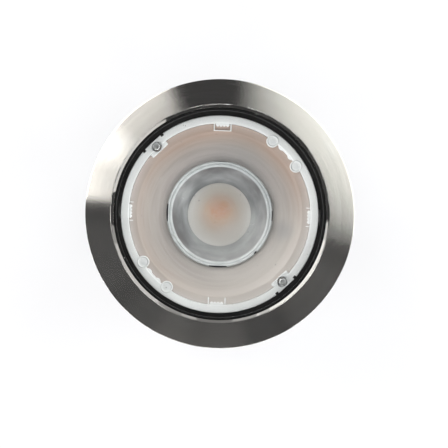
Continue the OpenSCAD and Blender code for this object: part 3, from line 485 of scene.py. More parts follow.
# %% The clips
tab_low = lens_top_z + 0.1 * MM
tab_top = holder_top.z - 0.2 * MM
clip_in_r = holder_in_r - 1.4 * MM
clip_half = 2.9 * MM
tooth_half = 0.45 * MM
tab = block("clip_tab", (clip_in_r + 0.4 * MM, -clip_half, tab_low),
            (holder_in_r + MM, clip_half, tab_top))
teeth = [block("clip_tooth", (clip_in_r, y * MM - tooth_half, tab_low),
               (clip_in_r + 0.8 * MM, y * MM + tooth_half, tab_top - 0.3 * MM))
         for y in (-2.1, -0.7, 0.7, 2.1)]
clip = joined("clip", [tab] + teeth)
print("clip:", len(clip.data.polygons), "faces")

# %% [markdown]
# The bosses are the round ends of the moulding's pins, dished where the mould pushed them out. A
# cylinder gives one, and three insets, each with a small lift, shape its top. The web between two
# bosses is a plain block with two round scallops on it.

# %% The bosses and the webs between them
boss_x = holder_in_r - 0.4 * MM
boss_r = 2.6 * MM
boss_top = holder_top.z + 0.15 * MM
boss_height = boss_top - tab_low
web_half = 7.2 * MM


def boss_stud():
    """A round boss with a dished top, as a mould's pin leaves it."""
    piece = fresh("boss", bpy.ops.mesh.primitive_cylinder_add, vertices=ROUND_SIDES,
                  radius=boss_r, depth=boss_height,
                  location=(boss_x, 0, (boss_top + tab_low) / 2))
    pick(piece, lambda place: place.z > boss_height / 2 - NEAR, "FACE")
    for width, lift in ((0.35, 0.12), (0.5, -0.35), (1.0, 0.1)):
        bpy.ops.mesh.inset(thickness=width * MM)
        bpy.ops.transform.translate(value=(0, 0, lift * MM))
    return done(piece)


boss = boss_stud()
web = block("web", (clip_in_r + 0.8 * MM, -web_half, tab_low),
            (holder_in_r + MM, web_half, holder_top.z - 0.6 * MM))
scallop = stud("scallop", 1.7 * MM, tab_low, holder_top.z - 0.7 * MM, boss_x + MM)
print("boss:", len(boss.data.polygons), "faces")

# %% [markdown]
# Each screw sits on a flat tongue with soft edges, over a pillar that takes its thread. Under the
# ring, two lugs take the tilt screws: each is a plate that ends in a round eye.

# %% The screws' tongues and pillars
screw_ring = holder_in_r + 0.7 * MM
tongue_half = 4.4 * MM
tongue = block("tongue", (screw_ring - 2.7 * MM, -tongue_half, tab_low),
               (screw_ring + 1.3 * MM, tongue_half, tab_top - 0.2 * MM), bevel=0.42 * MM)
pillar = stud("pillar", 2.4 * MM, holder_foot_z, holder_top.z - 0.6 * MM, screw_ring,
              bevel=0.2 * MM)
print(f"tongue: {2 * tongue_half / MM:.1f} mm wide")

# %% The tilt lugs
lug_out = 39.0 * MM
lug_thick = 2.5 * MM
lug_half = 6 * MM
pivot_z = holder_top.z - 12.4 * MM
lug_plate = block("lug_plate", (lug_out - lug_thick, -lug_half, pivot_z),
                  (lug_out, lug_half, holder_foot_z + 0.01 * MM), bevel=0.3 * MM)
lug_eye = fresh("lug_eye", bpy.ops.mesh.primitive_cylinder_add, vertices=ROUND_SIDES,
                radius=lug_half, depth=lug_thick, location=(lug_out - lug_thick / 2, 0, pivot_z),
                rotation=(0, math.pi / 2, 0))
bpy.ops.mesh.bevel(offset=0.3 * MM, segments=3, affect="EDGES")
lug = joined("lug", [lug_plate, done(lug_eye)])
print(f"lug: pivot at {pivot_z / MM:.2f} mm")

# %% [markdown]
# Thin white lines lie on the lens's edge round the clips: a whole frame at the top, its two sides
# at the bottom, and only its feet at the left and the right. Bars are thin enough for that.

# %% The clips' frames
frame_in_r = lens_r - 0.45 * MM
frame_z = (lens_top_z - 0.2 * MM, lens_top_z + 0.7 * MM)


def bar(name, inner, y, half_width, outer=holder_in_r + 0.5 * MM):
    """A thin bar of a clip's frame, which runs from one radius out to another."""
    return block(name, (inner, y - half_width, frame_z[0]),
                 (outer, y + half_width, frame_z[1]), 0.08 * MM)


frame_bar = bar("frame_bar", frame_in_r, 0, 3.8 * MM, frame_in_r + 0.32 * MM)
frame_sides = joined("frame_sides", [
    bar("frame_side", frame_in_r, y * MM, 0.25 * MM) for y in (-3.55, 3.55)])
frame_feet = joined("frame_feet", [
    bar("frame_foot", holder_in_r - 1.9 * MM, y * MM, 0.18 * MM) for y in (-3.9, 3.9)])
print(f"frames: from {frame_in_r / MM:.2f} mm outwards")

# %% The holder in one piece
BOSS_ANGLES = (34, 56, 214, 236)
SCREW_ANGLES = (135, 315)
holder = joined("holder", [
    ring, *copies(clip, (0, 90, 180, 270)), *copies(frame_bar, (90,)),
    *copies(frame_sides, (90, 270)), *copies(frame_feet, (0, 180)), *copies(boss, BOSS_ANGLES),
    *copies(web, (45, 225)), *copies(scallop, (41, 49, 221, 229)),
    *copies(tongue, SCREW_ANGLES), *copies(pillar, SCREW_ANGLES), *copies(lug, (0, 180))])
print("holder:", len(holder.data.polygons), "faces")


# %% [markdown]
# The screws' holes with their countersinks, the notches through the ring's edge beside them and
# the flats on its outside are cut with a Boolean, as a drill and a file would: one cutter holds
# them all.

# %% The holes in the holder
def cut(piece, cutter):
    """Cuts one piece out of another and removes the cutter."""
    bpy.ops.object.select_all(action="DESELECT")
    piece.select_set(True)
    bpy.context.view_layer.objects.active = piece
    drill = piece.modifiers.new("Drill", "BOOLEAN")
    drill.operation, drill.object = "DIFFERENCE", cutter
    drill.solver, drill.use_self = "EXACT", True
    bpy.ops.object.modifier_apply(modifier=drill.name)
    bpy.data.objects.remove(cutter)
    bpy.ops.object.shade_smooth_by_angle(angle=math.radians(SMOOTH_ANGLE))


def mill(name, inner, outer, half_width, low, high):
    """A sharp block that cuts into a ring from its outside, at azimuth 0."""
    return block(name, (inner, -half_width, low), (outer, half_width, high),
                 bevel=0.02 * MM, segments=1)


screw_head_r = 1.8 * MM
flat_r = holder_r * math.cos(math.radians(7))
mill_out_r = holder_r + 2 * MM
mill_low, mill_high = holder_foot_z - MM, holder_top.z + MM
sink_low, sink_high = holder_top.z - 2 * MM, holder_top.z + 0.2 * MM
sink = done(fresh("countersink", bpy.ops.mesh.primitive_cone_add, vertices=ROUND_SIDES,
                  radius1=screw_head_r, radius2=screw_head_r + 0.8 * MM,
                  depth=sink_high - sink_low,
                  location=(screw_ring, 0, (sink_low + sink_high) / 2)))
shank_hole = stud("shank_hole", 1.4 * MM, mill_low, holder_top.z, screw_ring, bevel=0)
hole = joined("hole", [shank_hole, sink])
notch = mill("notch", holder_r - MM, mill_out_r, 0.7 * MM, mill_low, mill_high)
flat = mill("flat", flat_r, mill_out_r, 4.9 * MM, mill_low, mill_high)
cut(holder, joined("holes", [*copies(hole, SCREW_ANGLES), *copies(notch, (128, 142, 308, 322)),
                             *copies(flat, SCREW_ANGLES)]))
placed(holder, math.degrees(head_turn))
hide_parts("lens_holder")
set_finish(holder, "white_plastic")
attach(holder, "lamp_head")
print("holder:", len(holder.data.polygons), "faces after drilling")

# %% [markdown]
# ## The lens
# The lens is moulded in clear plastic with a frosted, slightly dished front and a well in its
# middle that takes the collar. From above its front reads as one soft, warm bowl. The bowl could
# be a scaled sphere, but its section needs only a few corners on a sine curve, and the lathe's
# smooth shading makes one curve of them. The faint rings of the mould are left to the finish.

# %% The lens's section
DISH_RINGS = 9
SIDE_STEPS = 14
dish_out_r = lens_r - 0.6 * MM
dish_in_r = collar_r + 0.5 * MM
dish_depth = 2.0 * MM
dish_low_z = lens_top_z - dish_depth
seat_r = holder_in_r - 0.15 * MM
rim_gap_r = collar_r + 0.04 * MM
well_top_r = collar_in_r + 0.95 * MM
well_foot_r = collar_foot_r + 0.95 * MM
well_z = collar_low.z - 0.15 * MM
pocket_z = lens_low.z + 6 * MM
neck_r = 11.0 * MM
neck_z = lens_low.z + 2.4 * MM
side_height = holder_foot_z - neck_z


def dish_z(radius):
    """Height of the dished front at a radius: a shallow bowl."""
    share = (dish_out_r - radius) / (dish_out_r - dish_in_r)
    return lens_top_z - dish_depth * math.sin(share * math.pi / 2)


def side_corner(number):
    """One corner of the lens's flared side, from its neck up to its rim."""
    flare = (number / SIDE_STEPS) ** 0.55
    return neck_r + (lens_r - neck_r) * flare, neck_z + side_height * number / SIDE_STEPS, 0


dish_radii = [dish_out_r + (dish_in_r - dish_out_r) * i / DISH_RINGS for i in range(1, DISH_RINGS)]
lens = turned("lens", [
    (0, pocket_z, 0), (6.9 * MM, pocket_z, 0.3 * MM), (7.9 * MM, lens_low.z, 0),
    (neck_r, lens_low.z, 0.3 * MM), (neck_r, neck_z, 0),
    *[side_corner(number) for number in range(1, SIDE_STEPS)], (lens_r, holder_foot_z, 0),
    (lens_r, holder_seat_z, 0), (seat_r, holder_seat_z, 0.1 * MM),
    (seat_r, lens_top_z, 0.2 * MM), (dish_out_r, lens_top_z, 0.3 * MM),
    *[(radius, dish_z(radius), 0) for radius in dish_radii], (dish_in_r, dish_low_z, 0),
    (rim_gap_r, dish_low_z - 0.02 * MM, 0), (rim_gap_r, collar_seat_z, 0),
    (well_top_r, collar_seat_z, 0), (well_foot_r, well_z, 0),
    (well_foot_r * 0.7, well_z + 0.7 * MM, 0), (well_foot_r * 0.35, well_z + 1.1 * MM, 0),
    (0, well_z + 1.25 * MM, 0)], smooth=40)

placed(lens, math.degrees(head_turn))
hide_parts("tir_lens")
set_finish(lens, "lens")
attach(lens, "lamp_head")
print("lens:", len(lens.data.polygons), "faces")

# %% [markdown]
# ## The collar
# A smoky insert sits in the lens's well and hides the light source from the side. Its rim has two
# ridges with a groove between them, four slots in its outer edge (two long, one short and one
# thin) and one small step, and its cone runs down to the light source.

# %% The collar
rim_z = collar_top.z
outer_rim_z = rim_z - 0.05 * MM
groove_z = rim_z - 0.35 * MM
groove_mid = (collar_r + collar_in_r) / 2
cone_wall = 0.8 * MM
collar = turned("collar", [
    (collar_in_r, rim_z - 0.3 * MM, 0.1 * MM), (collar_in_r + 0.35 * MM, rim_z, 0.12 * MM),
    (groove_mid - 0.25 * MM, rim_z, 0.08 * MM), (groove_mid - 0.1 * MM, groove_z, 0),
    (groove_mid + 0.2 * MM, groove_z, 0), (groove_mid + 0.35 * MM, outer_rim_z, 0.08 * MM),
    (collar_r - 0.4 * MM, outer_rim_z, 0.15 * MM), (collar_r, rim_z - 0.45 * MM, 0.1 * MM),
    (collar_r, collar_seat_z, 0), (collar_in_r + cone_wall, collar_seat_z, 0),
    (collar_foot_r + cone_wall, collar_low.z, 0), (collar_foot_r, collar_low.z, 0.1 * MM)])

# %% The slots in the collar's rim
mill_out_r, mill_high = collar_r + MM, rim_z + MM
slot_half = 3.8 * MM
slot_z = rim_z - 1.6 * MM
long_slot = mill("slot_cut", collar_r - 0.75 * MM, mill_out_r, slot_half, slot_z, mill_high)
small_step = mill("step_cut", collar_r - 0.7 * MM, mill_out_r, 0.7 * MM, rim_z - MM, mill_high)
short_slot = mill("short_cut", collar_r - 0.5 * MM, mill_out_r, 2.2 * MM, slot_z, mill_high)
thin_slot = mill("thin_cut", collar_r - 0.3 * MM, mill_out_r, slot_half, rim_z - 0.9 * MM,
                 mill_high)
cut(collar, joined("slots", [*copies(long_slot, (180, 270)), short_slot,
                             *copies(thin_slot, (90,)), *copies(small_step, (315,))]))
placed(collar, math.degrees(head_turn))
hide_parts("lens_collar")
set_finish(collar, "collar")
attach(collar, "lamp_head")
print("collar:", len(collar.data.polygons), "faces")

# %% [markdown]
# ## Finishes
# Each slot of the record gets one material. First the brushed steel of the bezel. A turned face
# carries thousands of concentric scratches, which stretch every reflection along the radius, so a
# lamp to one side lights a whole wedge of the ring. The stretch is the shader's anisotropy; the
# scratches themselves are noise that changes fast along the radius and slowly round the ring.

# %% Brushed steel
def scratches_round(finish, across, along=0.6):
    """Noise that is fine across the turning marks and long round the axis."""
    radius = finish.radius()
    return finish.noise(1.0, 4, 0.7, finish.vector(radius * across, finish.x / radius * along,
                                                   finish.y / radius * along + finish.z * 900))


def bezel_steel():
    steel = Finish("bezel_steel", {"Metallic": 1.0, "Anisotropic": 1.0,
                                   "Anisotropic Rotation": 0.25})
    fine = scratches_round(steel, 9000)
    broad = scratches_round(steel, 1400, 1.5)
    tone = steel.ramp(fine * 0.55 + broad * 0.45,
                      (0.3, (0.62, 0.605, 0.575)), (0.7, (0.80, 0.79, 0.765)))
    cloud = steel.noise(60, 2)
    tone = steel.blend(cloud.between(0.35, 0.65, 0.2) * 0.25, tone, (0.70, 0.66, 0.60))
    under = 1 - steel.z.above(face_out_z - 0.3 * MM, 0.2 * MM)
    inner = 1 - steel.radius().above(face_in_r - 0.05 * MM, 0.06 * MM)
    steel.set({"Base Color": steel.blend(under * (1 - inner), tone, (0.52, 0.51, 0.49)),
               "Roughness": (fine * 0.05 + 0.105) * (1 - inner * 0.6) + under * 0.1})
    steel.bump(fine, 4e-6, 0.6)
    return steel.material


# %% [markdown]
# Clear glass that covers something must let the lamps' light through to it. A refracting shader
# stops that light in a path tracer, so the pane is a see-through shader with a mirror over it,
# mixed by the Fresnel law. Only the side that faces the ray mirrors, with the strength of both,
# because straight rays inside the pane would count as steeper than they are and turn the glass
# into a mirror. A trace of dust lies on it: a film of about one part in a hundred, and specks.

# %% Cover glass
def glass():
    pane = Finish("glass", {})
    tree = pane.tree
    clear = tree.nodes.new("ShaderNodeBsdfTransparent")
    clear.inputs["Color"].default_value = (0.985, 0.992, 0.99, 1)
    mirror = tree.nodes.new("ShaderNodeBsdfGlossy")
    mirror.inputs["Roughness"].default_value = 0.03
    dust = tree.nodes.new("ShaderNodeBsdfDiffuse")
    dust.inputs["Color"].default_value = (0.8, 0.79, 0.77, 1)
    fresnel = pane.node("Fresnel", {}, {"IOR": 1.5})
    outside = 1 - pane.node("NewGeometry", {}, {}, "Backfacing")
    specks = (1 - pane.cells(300).above(0.07, 0.06)) * pane.noise(110, 1).above(0.58, 0.06)
    film = pane.noise(60, 3) * 0.016 + specks * 0.35
    dusty = mixed(tree, film * outside, clear, dust)
    mirrored = mixed(tree, fresnel * 1.7 * outside, dusty, mirror)
    tree.links.new(mirrored.outputs[0], tree.nodes["Material Output"].inputs["Surface"])
    tree.nodes.remove(pane.shader)
    return pane.material


# %% [markdown]
# Rubber is near black and matt, and it holds on to dust: a cell pattern gives a few pale specks.

# %% Rubber
def black_rubber():
    rubber = Finish("black_rubber", {"Specular IOR Level": 0.05})
    speck = (1 - rubber.cells(420).above(0.10, 0.09)) * rubber.noise(260, 1).above(0.56, 0.06)
    worn = rubber.noise(900, 3)
    dark = rubber.ramp(worn, (0.3, (0.002, 0.002, 0.002)), (0.75, (0.005, 0.005, 0.005)))
    rubber.set({"Base Color": rubber.blend(speck, dark, (0.3, 0.3, 0.29)),
                "Roughness": worn * 0.2 + 0.4})
    rubber.bump(worn, 1e-5, 0.4)
    return rubber.material


# %% [markdown]
# The white moulding under the glass is satin plastic: nearly white, with a trace of blue, broad
# faint clouding, and a fine spark-eroded grain that breaks up its highlights. It is thin over the
# two screws, so their grey shows through it as a soft smudge, and a little greyer in its bosses.
# Its north side is made a little darker with painted shade.

# %% White plastic
def spot(finish, x, y, reach, soft=1.0):
    """A soft round mask: 1 at (x, y), 0 beyond its reach, all in millimetres."""
    across, up = finish.x - x * MM, finish.y - y * MM
    away = (across.math("POWER", 2) + up.math("POWER", 2)).math("SQRT")
    return 1 - away.above(reach * MM * (1 - soft / 2), reach * MM * soft)


def on_head(radius, angle):
    """Where a point of the lamp head lies, with the head's small turn: x and y in millimetres."""
    turned_angle = math.radians(angle) + head_turn
    return radius * math.cos(turned_angle), radius * math.sin(turned_angle)


def white_plastic():
    plastic = Finish("white_plastic", {"Specular IOR Level": 0.45})
    cloud = plastic.noise(45, 3)
    smoke = plastic.noise(420, 3)
    base = plastic.ramp(cloud, (0.3, (0.865, 0.867, 0.87)), (0.7, (0.925, 0.92, 0.918)))
    # Painted shade: the ring's north side is multiplied darker.
    painted_shade_north = plastic.facing(95).above(0.4, 1.4)
    base = plastic.blend(painted_shade_north * 0.6, base, (0.86, 0.86, 0.86), "MULTIPLY")
    for angle in SCREW_ANGLES:
        grey = spot(plastic, *on_head(38.6, angle), 8)
        smudge = spot(plastic, *on_head(39.2, angle), 5.2)
        base = plastic.blend(grey * 0.3, base, (0.60, 0.61, 0.62))
        base = plastic.blend(smudge * (smoke * 0.6 + 0.2), base, (0.42, 0.43, 0.44))
    for angle in BOSS_ANGLES:
        smudge = spot(plastic, *on_head(38.3, angle), 2.6, 0.5)
        base = plastic.blend(smudge * (smoke * 0.5), base, (0.42, 0.44, 0.46))
    plastic.set({"Base Color": base, "Roughness": cloud * 0.1 + 0.33})
    plastic.bump(plastic.noise(5200, 2), 1.2e-5, 0.5)
    return plastic.material


# %% [markdown]
# The lens's front is frosted, and what shows through it is the light source's warm phosphor spread
# over the whole bowl: a pinkish beige outside, greyer towards the collar, with faint rings from
# its mould. The floor of its well is a pale ring round a warm orange glow, which sits a little
# above the middle. Painted light and shade lie over it in a few large soft patches, paler to the
# south and darker to the north and east; painted shade darkens its whole north side, and painted
# light makes its south-east side and a spot of the well's floor paler. LENS_TONES is read
# from the middle outwards, as shares of the holder's inner radius.

# %% Frosted lens
LENS_TONES = (
    (0.0, (0.58, 0.33, 0.23)), (0.075, (0.58, 0.35, 0.25)), (0.13, (0.575, 0.40, 0.305)),
    (0.19, (0.56, 0.45, 0.385)), (0.25, (0.59, 0.54, 0.50)), (0.33, (0.70, 0.68, 0.66)),
    (0.62, (0.44, 0.405, 0.39)), (0.66, (0.365, 0.325, 0.31)), (0.74, (0.358, 0.317, 0.297)),
    (0.83, (0.385, 0.325, 0.294)), (0.875, (0.40, 0.322, 0.286)), (0.92, (0.475, 0.395, 0.355)),
    (0.98, (0.555, 0.495, 0.475)))
LENS_PAINTED_SHADE = (
    (0.3, (0.72, 0.69, 0.665)), (0.60, (0.76, 0.76, 0.78)), (0.74, (0.78, 0.775, 0.78)),
    (0.88, (0.86, 0.76, 0.70)))


def lens_finish():
    frost = Finish("lens", {"Specular IOR Level": 0.5, "Coat Weight": 0.2,
                            "Coat Roughness": 0.25})
    radius = frost.radius()
    cloud = frost.noise(38, 3)
    swirl = frost.noise(1.0, 3, 0.5, frost.vector(radius * 420, frost.x / radius * 0.8,
                                                  frost.y / radius * 0.8))
    lift = (1 - radius * (1 / collar_foot_r)).math("MAXIMUM", 0) * 2.4 * MM
    warm = (frost.x * frost.x + (frost.y - lift).math("POWER", 2)).math("SQRT")
    share = (warm + (cloud - 0.5) * 0.0014) * (1 / holder_in_r)
    base = frost.ramp(share, *LENS_TONES)
    base = frost.blend(swirl.between(0.42, 0.58, 0.2) * 0.22, base, (0.56, 0.51, 0.48))
    # Painted light and shade: a paler patch to the south, darker ones to the north and east.
    for x, y, reach, strength, painted_tone in (
            (12, -24, 22, cloud * 0.5 + 0.12, (0.58, 0.53, 0.50)),
            (9, 25, 17, cloud * 0.9 + 0.15, (0.335, 0.325, 0.315)),
            (27, -7, 7, 0.65, (0.22, 0.22, 0.225))):
        base = frost.blend(spot(frost, x, y, reach) * strength, base, painted_tone)
    # Painted shade: the north side is multiplied darker.
    painted_shade = frost.ramp(share, *LENS_PAINTED_SHADE)
    base = frost.blend(frost.facing(80).above(0.45, 1.1), base, painted_shade, "MULTIPLY")
    # Painted light: a paler spot on the well's floor, south-east of the middle.
    base = frost.blend(spot(frost, 4.5, -7, 8) * 0.4, base, (0.66, 0.62, 0.59))
    # Painted light: the south-east side is made paler, most towards the outer edge.
    painted_light_se = frost.facing(298, 14 * MM).above(0.55, 0.8)
    base = frost.blend(painted_light_se * (share.above(0.84, 0.1) * 0.35 + 0.3), base, (0.66, 0.61, 0.58))
    frost.set({"Base Color": base, "Roughness": cloud * 0.15 + 0.3})
    frost.bump(frost.noise(2600, 2) * 0.4 + swirl, 3e-5, 0.5)
    return frost.material


# %% [markdown]
# The collar is smoky plastic: dark down its cone, pale on its rim, with large soft blotches on the
# cone. Painted shade darkens its north-east side and paints the deep parts of its slots near
# black, and painted light makes its south-east side paler.

# %% Smoky collar
def collar_finish():
    smoke = Finish("collar", {"Specular IOR Level": 0.5, "Coat Weight": 0.35,
                              "Coat Roughness": 0.12})
    radius = smoke.radius()
    rim = radius.above(collar_in_r - 0.1 * MM, 0.5 * MM)
    blotch = smoke.noise(1.0, 3, 0.5, smoke.vector(smoke.x * 62, smoke.y * 62, smoke.z * 90))
    fine = scratches_round(smoke, 2500)
    down = (rim_z - smoke.z) * (1 / (rim_z - collar_low.z))
    cone = smoke.ramp(blotch + (down - 0.5) * 0.12, (0.34, (0.11, 0.115, 0.125)),
                      (0.48, (0.20, 0.21, 0.22)), (0.66, (0.36, 0.37, 0.38)))
    pale = smoke.ramp(smoke.noise(300, 3), (0.3, (0.42, 0.435, 0.44)), (0.7, (0.54, 0.555, 0.56)))
    tone = smoke.blend(rim, cone, pale)
    # Painted shade on the north-east side.
    tone = smoke.blend(smoke.facing(50).above(0.4, 1.2), tone, (0.78, 0.78, 0.79), "MULTIPLY")
    # Painted light on the south-east side.
    tone = smoke.blend(smoke.facing(300).above(0.5, 1.0) * 0.3, tone, (0.74, 0.74, 0.74))
    # Painted shade: deep in the rim's slots and on the outer wall below them, near black.
    deep = 1 - smoke.z.above(rim_z - 0.8 * MM, 0.2 * MM)
    slot = deep * radius.above(collar_r - 0.9 * MM, 0.2 * MM)
    smoke.set({"Base Color": smoke.blend(slot, tone, (0.03, 0.03, 0.032)),
               "Roughness": blotch * 0.2 + 0.22})
    smoke.bump(fine, 1e-5, 0.4)
    return smoke.material


# %% [markdown]
# The light source's disc is silicone filled with phosphor. The frosted floor of the well hides it
# from above, and it shows where the lamp is open: a warm yellow-orange, with its chips as faint
# darker cells.

# %% Phosphor disc
def phosphor():
    silicone = Finish("phosphor", {"Specular IOR Level": 0.5, "Coat Weight": 0.5,
                                   "Coat Roughness": 0.08})
    chips = silicone.cells(900)
    glow = silicone.ramp(silicone.radius() * (1 / disc_r), (0.0, (0.72, 0.36, 0.20)),
                         (0.5, (0.62, 0.38, 0.24)), (1.0, (0.60, 0.52, 0.42)))
    chip = (1 - chips.above(0.35, 0.3)) * 0.3
    silicone.set({"Base Color": silicone.blend(chip, glow, (0.85, 0.55, 0.2)),
                  "Roughness": chips * 0.2 + 0.25})
    silicone.bump(1 - chips, 2e-5, 0.4)
    return silicone.material


# %% [markdown]
# The casting is powder-coated black: a fine, even texture like orange peel with a dull sheen and a
# trace of dust, and a little lighter in streaks along the outer faces of its ribs.

# %% Powder coat
rib_face_r = 50.35 * MM
rib_out_r = 52 * MM


def powder_coat():
    coat = Finish("cast_black", {"Specular IOR Level": 0.4})
    peel = coat.noise(2400, 2, 0.5)
    broad = coat.noise(180, 3)
    streak = coat.noise(1.0, 3, 0.6, coat.vector(coat.x * 700, coat.y * 700, coat.z * 60))
    # Lighter streaks along the outer faces of the ribs.
    rib_face_streaks = coat.radius().between(rib_face_r, rib_out_r, 0.3 * MM) * streak.above(0.52, 0.12)
    dust = coat.noise(900, 4, 0.7).above(0.66, 0.1)
    dark = coat.ramp(broad, (0.3, (0.017, 0.018, 0.020)), (0.7, (0.023, 0.024, 0.026)))
    dark = coat.blend(dust * 0.25, dark, (0.09, 0.088, 0.083))
    coat.set({"Base Color": coat.blend(rib_face_streaks * 0.45, dark, (0.11, 0.11, 0.113)),
              "Roughness": peel * 0.2 + 0.40})
    coat.bump(peel, 4e-5, 0.6)
    return coat.material


# %% [markdown]
# The other metals and plastics share one recipe: two tones mixed by slow noise, a grain of its own
# size for the bump, and a roughness that wanders with it. Strip steel and turned parts get long
# scratches by squeezing the noise along one axis.

# %% One recipe for the plainer finishes
def plain(name, dark, light, rough, grain, depth, metal=0.0, squeeze=1.0, coat=0.0):
    """Two tones, a roughness, grains per metre, their depth, and a squeeze along the z axis."""
    finish = Finish(name, {"Metallic": metal, "Coat Weight": coat, "Specular IOR Level": 0.5})
    at = finish.vector(finish.x, finish.y, finish.z * squeeze)
    fine = finish.noise(grain, 3, 0.6, at)
    slow = finish.noise(90, 3)
    tone = finish.ramp(slow * 0.6 + fine * 0.4, (0.3, dark), (0.7, light))
    stain = finish.noise(25, 2).above(0.56, 0.12)
    finish.set({"Base Color": finish.blend(stain * 0.2, tone, tuple(0.8 * c for c in dark)),
                "Roughness": fine * 0.15 + slow * 0.1 + (rough - 0.12)})
    finish.bump(fine, depth, 0.6)
    return finish.material


finishes = {
    "bezel_steel": bezel_steel(), "glass": glass(), "black_rubber": black_rubber(),
    "white_plastic": white_plastic(), "lens": lens_finish(), "collar": collar_finish(),
    "phosphor": phosphor(), "cast_black": powder_coat(),
}
for name, *recipe in (
        ("plated_steel", (0.52, 0.51, 0.46), (0.70, 0.69, 0.64), 0.36, 1500, 1e-5, 1.0),
        ("spring_steel", (0.58, 0.58, 0.57), (0.74, 0.74, 0.73), 0.28, 900, 8e-6, 1.0, 0.06),
        ("screw_steel", (0.56, 0.56, 0.56), (0.74, 0.74, 0.75), 0.42, 2400, 1e-5, 1.0),
        ("nickel", (0.58, 0.56, 0.51), (0.72, 0.70, 0.65), 0.27, 1800, 8e-6, 1.0, 0.2),
        ("brass", (0.62, 0.43, 0.18), (0.80, 0.60, 0.30), 0.3, 1800, 8e-6, 1.0),
        ("cast_aluminium", (0.48, 0.49, 0.50), (0.64, 0.65, 0.66), 0.5, 1300, 5e-5, 1.0),
        ("washer_plastic", (0.72, 0.69, 0.60), (0.82, 0.80, 0.72), 0.45, 1200, 1e-5),
        ("black_plastic", (0.022, 0.022, 0.024), (0.04, 0.04, 0.043), 0.45, 3000, 3e-5),
        ("potting", (0.012, 0.012, 0.014), (0.025, 0.025, 0.028), 0.22, 140, 1e-4, 0.0, 1.0, 0.5),
        ("terminal_plastic", (0.66, 0.66, 0.62), (0.76, 0.76, 0.73), 0.42, 2000, 1e-5),
        ("ceramic_white", (0.78, 0.78, 0.75), (0.86, 0.86, 0.84), 0.3, 1500, 5e-6),
        ("pad", (0.36, 0.42, 0.5), (0.46, 0.52, 0.6), 0.7, 2500, 3e-5)):
    finishes[name] = plain(name, *recipe)
print(len(finishes), "finishes")

# %% Finishes go on every CAD node and every new piece
slots = {part["node"]: part["material_slot"] for part in frame["record"]["subparts"]}
for name, node in nodes.items():
    node.data.materials.clear()
    node.data.materials.append(finishes[slots[name]])
for piece in (bezel, glass_disc, gasket, holder, lens, collar):
    piece.data.materials.clear()
    piece.data.materials.append(finishes[piece["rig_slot"]])
print("finishes assigned to", len(nodes), "nodes")

# %% [markdown]
# ## Floor, light and camera
# The photograph is a studio shot on white, taken from straight above with a long lens. The floor
# shows nearly white to the camera, by a glow that only the camera's rays see, and still takes the
# lamp's shadow.

# %% The floor
FLOOR_R = 3.0
GLOW_SHARE = 0.7
bpy.ops.object.select_all(action="DESELECT")
bpy.ops.mesh.primitive_circle_add(vertices=96, radius=FLOOR_R, fill_type="NGON",
                                  location=(0, 0, stand_z))
floor = bpy.context.object
floor.name = "floor"
bpy.ops.object.transform_apply(location=True)
paper = Finish("paper", {"Base Color": (0.70, 0.70, 0.705), "Roughness": 0.9})
tree = paper.tree
glow = tree.nodes.new("ShaderNodeEmission")
glow.inputs["Color"].default_value = (0.915, 0.915, 0.93, 1)
camera_ray = paper.node("LightPath", {}, {}, "Is Camera Ray")
seen = mixed(tree, camera_ray * GLOW_SHARE, paper.shader, glow)
tree.links.new(seen.outputs[0], tree.nodes["Material Output"].inputs["Surface"])
floor.data.materials.append(paper.material)
print("floor at", round(stand_z, 5))


# %% [markdown]
# Brushed steel shows where the lamps are. In the photograph a cream wedge at the upper left and a
# wider greenish one at the upper right are parted by a narrow dark one at the top, and the lower
# half is dark. So two banks of softboxes hang on those sides, each row as wide as its part of the
# wedge. The left wedge ends in a sharp line, so one tall softbox has its side exactly there, and a
# single faint row lifts the bottom. The face of the bezel looks up and never sees what stands low:
# seven lamps round the recess fill it under the glass, and low, wide panels that overlap light the
# chamfer and the sides.

# %% The softboxes
LAMP_DISTANCE = 1.6
ROW_HEIGHT = 0.27
FILL_ZENITH, FILL_WIDTH, FILL_HEIGHT = 58, 0.8, 0.45
PANEL_ZENITH, PANEL_HEIGHT = 79, 0.4
CREAM = (1.0, 0.985, 0.955)
GREENISH = (0.985, 1.0, 0.965)
COOL = (0.995, 1.0, 1.0)


def softbox(name, azimuth, zenith, width, height, brightness, colour=(1, 1, 1)):
    """An area lamp that faces the object, at an azimuth and an angle from straight up."""
    a, t = math.radians(azimuth), math.radians(zenith)
    towards = Vector((math.sin(t) * math.cos(a), math.sin(t) * math.sin(a), math.cos(t)))
    bpy.ops.object.light_add(type="AREA", location=towards * LAMP_DISTANCE,
                             rotation=(-towards).to_track_quat("-Z", "Y").to_euler())
    box = bpy.context.object
    box.name = name
    box.data.shape, box.data.size, box.data.size_y = "RECTANGLE", width, height
    box.data.energy, box.data.color = math.pi * width * height * brightness, colour
    return box


def edged(name, azimuth, zenith, width, height, brightness, colour):
    """A softbox with its far side exactly along one azimuth, so that its reflection ends there."""
    box = softbox(name, azimuth, zenith, width, height, brightness, colour)
    a = math.radians(azimuth)
    box.location += Vector((math.sin(a), -math.cos(a), 0)) * width / 2
    return box


def bank(name, azimuth, half, rows, colour):
    """Rows of softboxes that fill a wedge from one angle to the other."""
    for zenith, brightness in rows:
        reach = LAMP_DISTANCE * math.sin(math.radians(zenith))
        width = 2 * reach * math.tan(math.radians(half))
        softbox(f"{name}_{zenith}", azimuth, zenith, width, ROW_HEIGHT, brightness, colour)


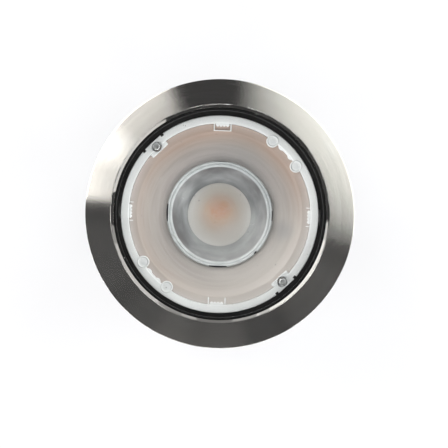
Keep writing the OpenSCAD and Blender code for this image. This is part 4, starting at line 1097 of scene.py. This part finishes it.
bank("upper_left", 131.5, 19.5, ((20, 1.8), (30, 5.2), (40, 3.4)), CREAM)
edged("upper_left_edge", 171.5, 30, 0.34, 0.8, 4.1, CREAM)
bank("upper_right", 33.8, 39.5, ((20, 2.6), (30, 1.6), (40, 1.5)), GREENISH)
bank("lower", 262, 20, ((30, 1.5),), CREAM)
for azimuth, brightness in ((200, 9.5), (240, 9.5), (280, 9.5), (320, 9.5), (0, 9.5), (45, 10),
                            (140, 10)):
    softbox(f"fill_{azimuth}", azimuth, FILL_ZENITH, FILL_WIDTH, FILL_HEIGHT, brightness, COOL)
for azimuth, width, brightness in ((36, 1.1, 0.35), (42, 2.2, 0.35), (90, 1.2, 0.2),
                                   (141, 1.4, 0.5), (142, 2.0, 0.5), (136, 2.6, 0.25),
                                   (325, 1.4, 0.8)):
    softbox(f"panel_{azimuth}", azimuth, PANEL_ZENITH, width, PANEL_HEIGHT, brightness)

# %% [markdown]
# The room is nearly black to the lamp, so that only the softboxes show in the steel, and pale to
# the camera, so that the floor's edge doesn't stand out.

# %% The room
world = bpy.data.worlds.new("studio")
bpy.context.scene.world = world
world.use_nodes = True
tree = world.node_tree
dark = tree.nodes["Background"]
dark.inputs["Color"].default_value = (0.05, 0.05, 0.052, 1)
pale = tree.nodes.new("ShaderNodeBackground")
pale.inputs["Color"].default_value = (0.95, 0.95, 0.958, 1)
path = tree.nodes.new("ShaderNodeLightPath")
room = mixed(tree, Value(tree, path.outputs["Is Camera Ray"]), dark, pale)
tree.links.new(room.outputs[0], tree.nodes["World Output"].inputs["Surface"])
print("room ready")

# %% [markdown]
# The camera looks straight down from about a metre, a centimetre off the lamp's axis: the white
# ring lies lower than the bezel, and looks half a pixel off its middle in the photograph. A small
# lens shift puts the lamp's middle where the photograph has it, without turning the view.

# %% The camera
PICTURE = 448  # pixels across the picture
centre_px = (219.9, 213.7)  # the lamp's middle in the photograph
bezel_px = 134.7  # the bezel's radius in the photograph
camera_place = Vector((-6 * MM, -10 * MM, 0))
camera_height = 0.9
picture_width = PICTURE * bezel_r / bezel_px
bpy.ops.object.camera_add(location=camera_place + Vector((0, 0, camera_height)),
                          rotation=(0, 0, 0))
camera = bpy.context.object
camera.data.sensor_width = 36.0
camera.data.lens = camera.data.sensor_width * (camera_height - face_out_z) / picture_width
shift_back = camera_place / picture_width
camera.data.shift_x = (PICTURE / 2 - centre_px[0]) / PICTURE - shift_back.x
camera.data.shift_y = (centre_px[1] - PICTURE / 2) / PICTURE - shift_back.y
bpy.context.scene.camera = camera
bpy.context.scene.view_settings.view_transform = "Standard"
print(f"lens {camera.data.lens:.1f} mm")
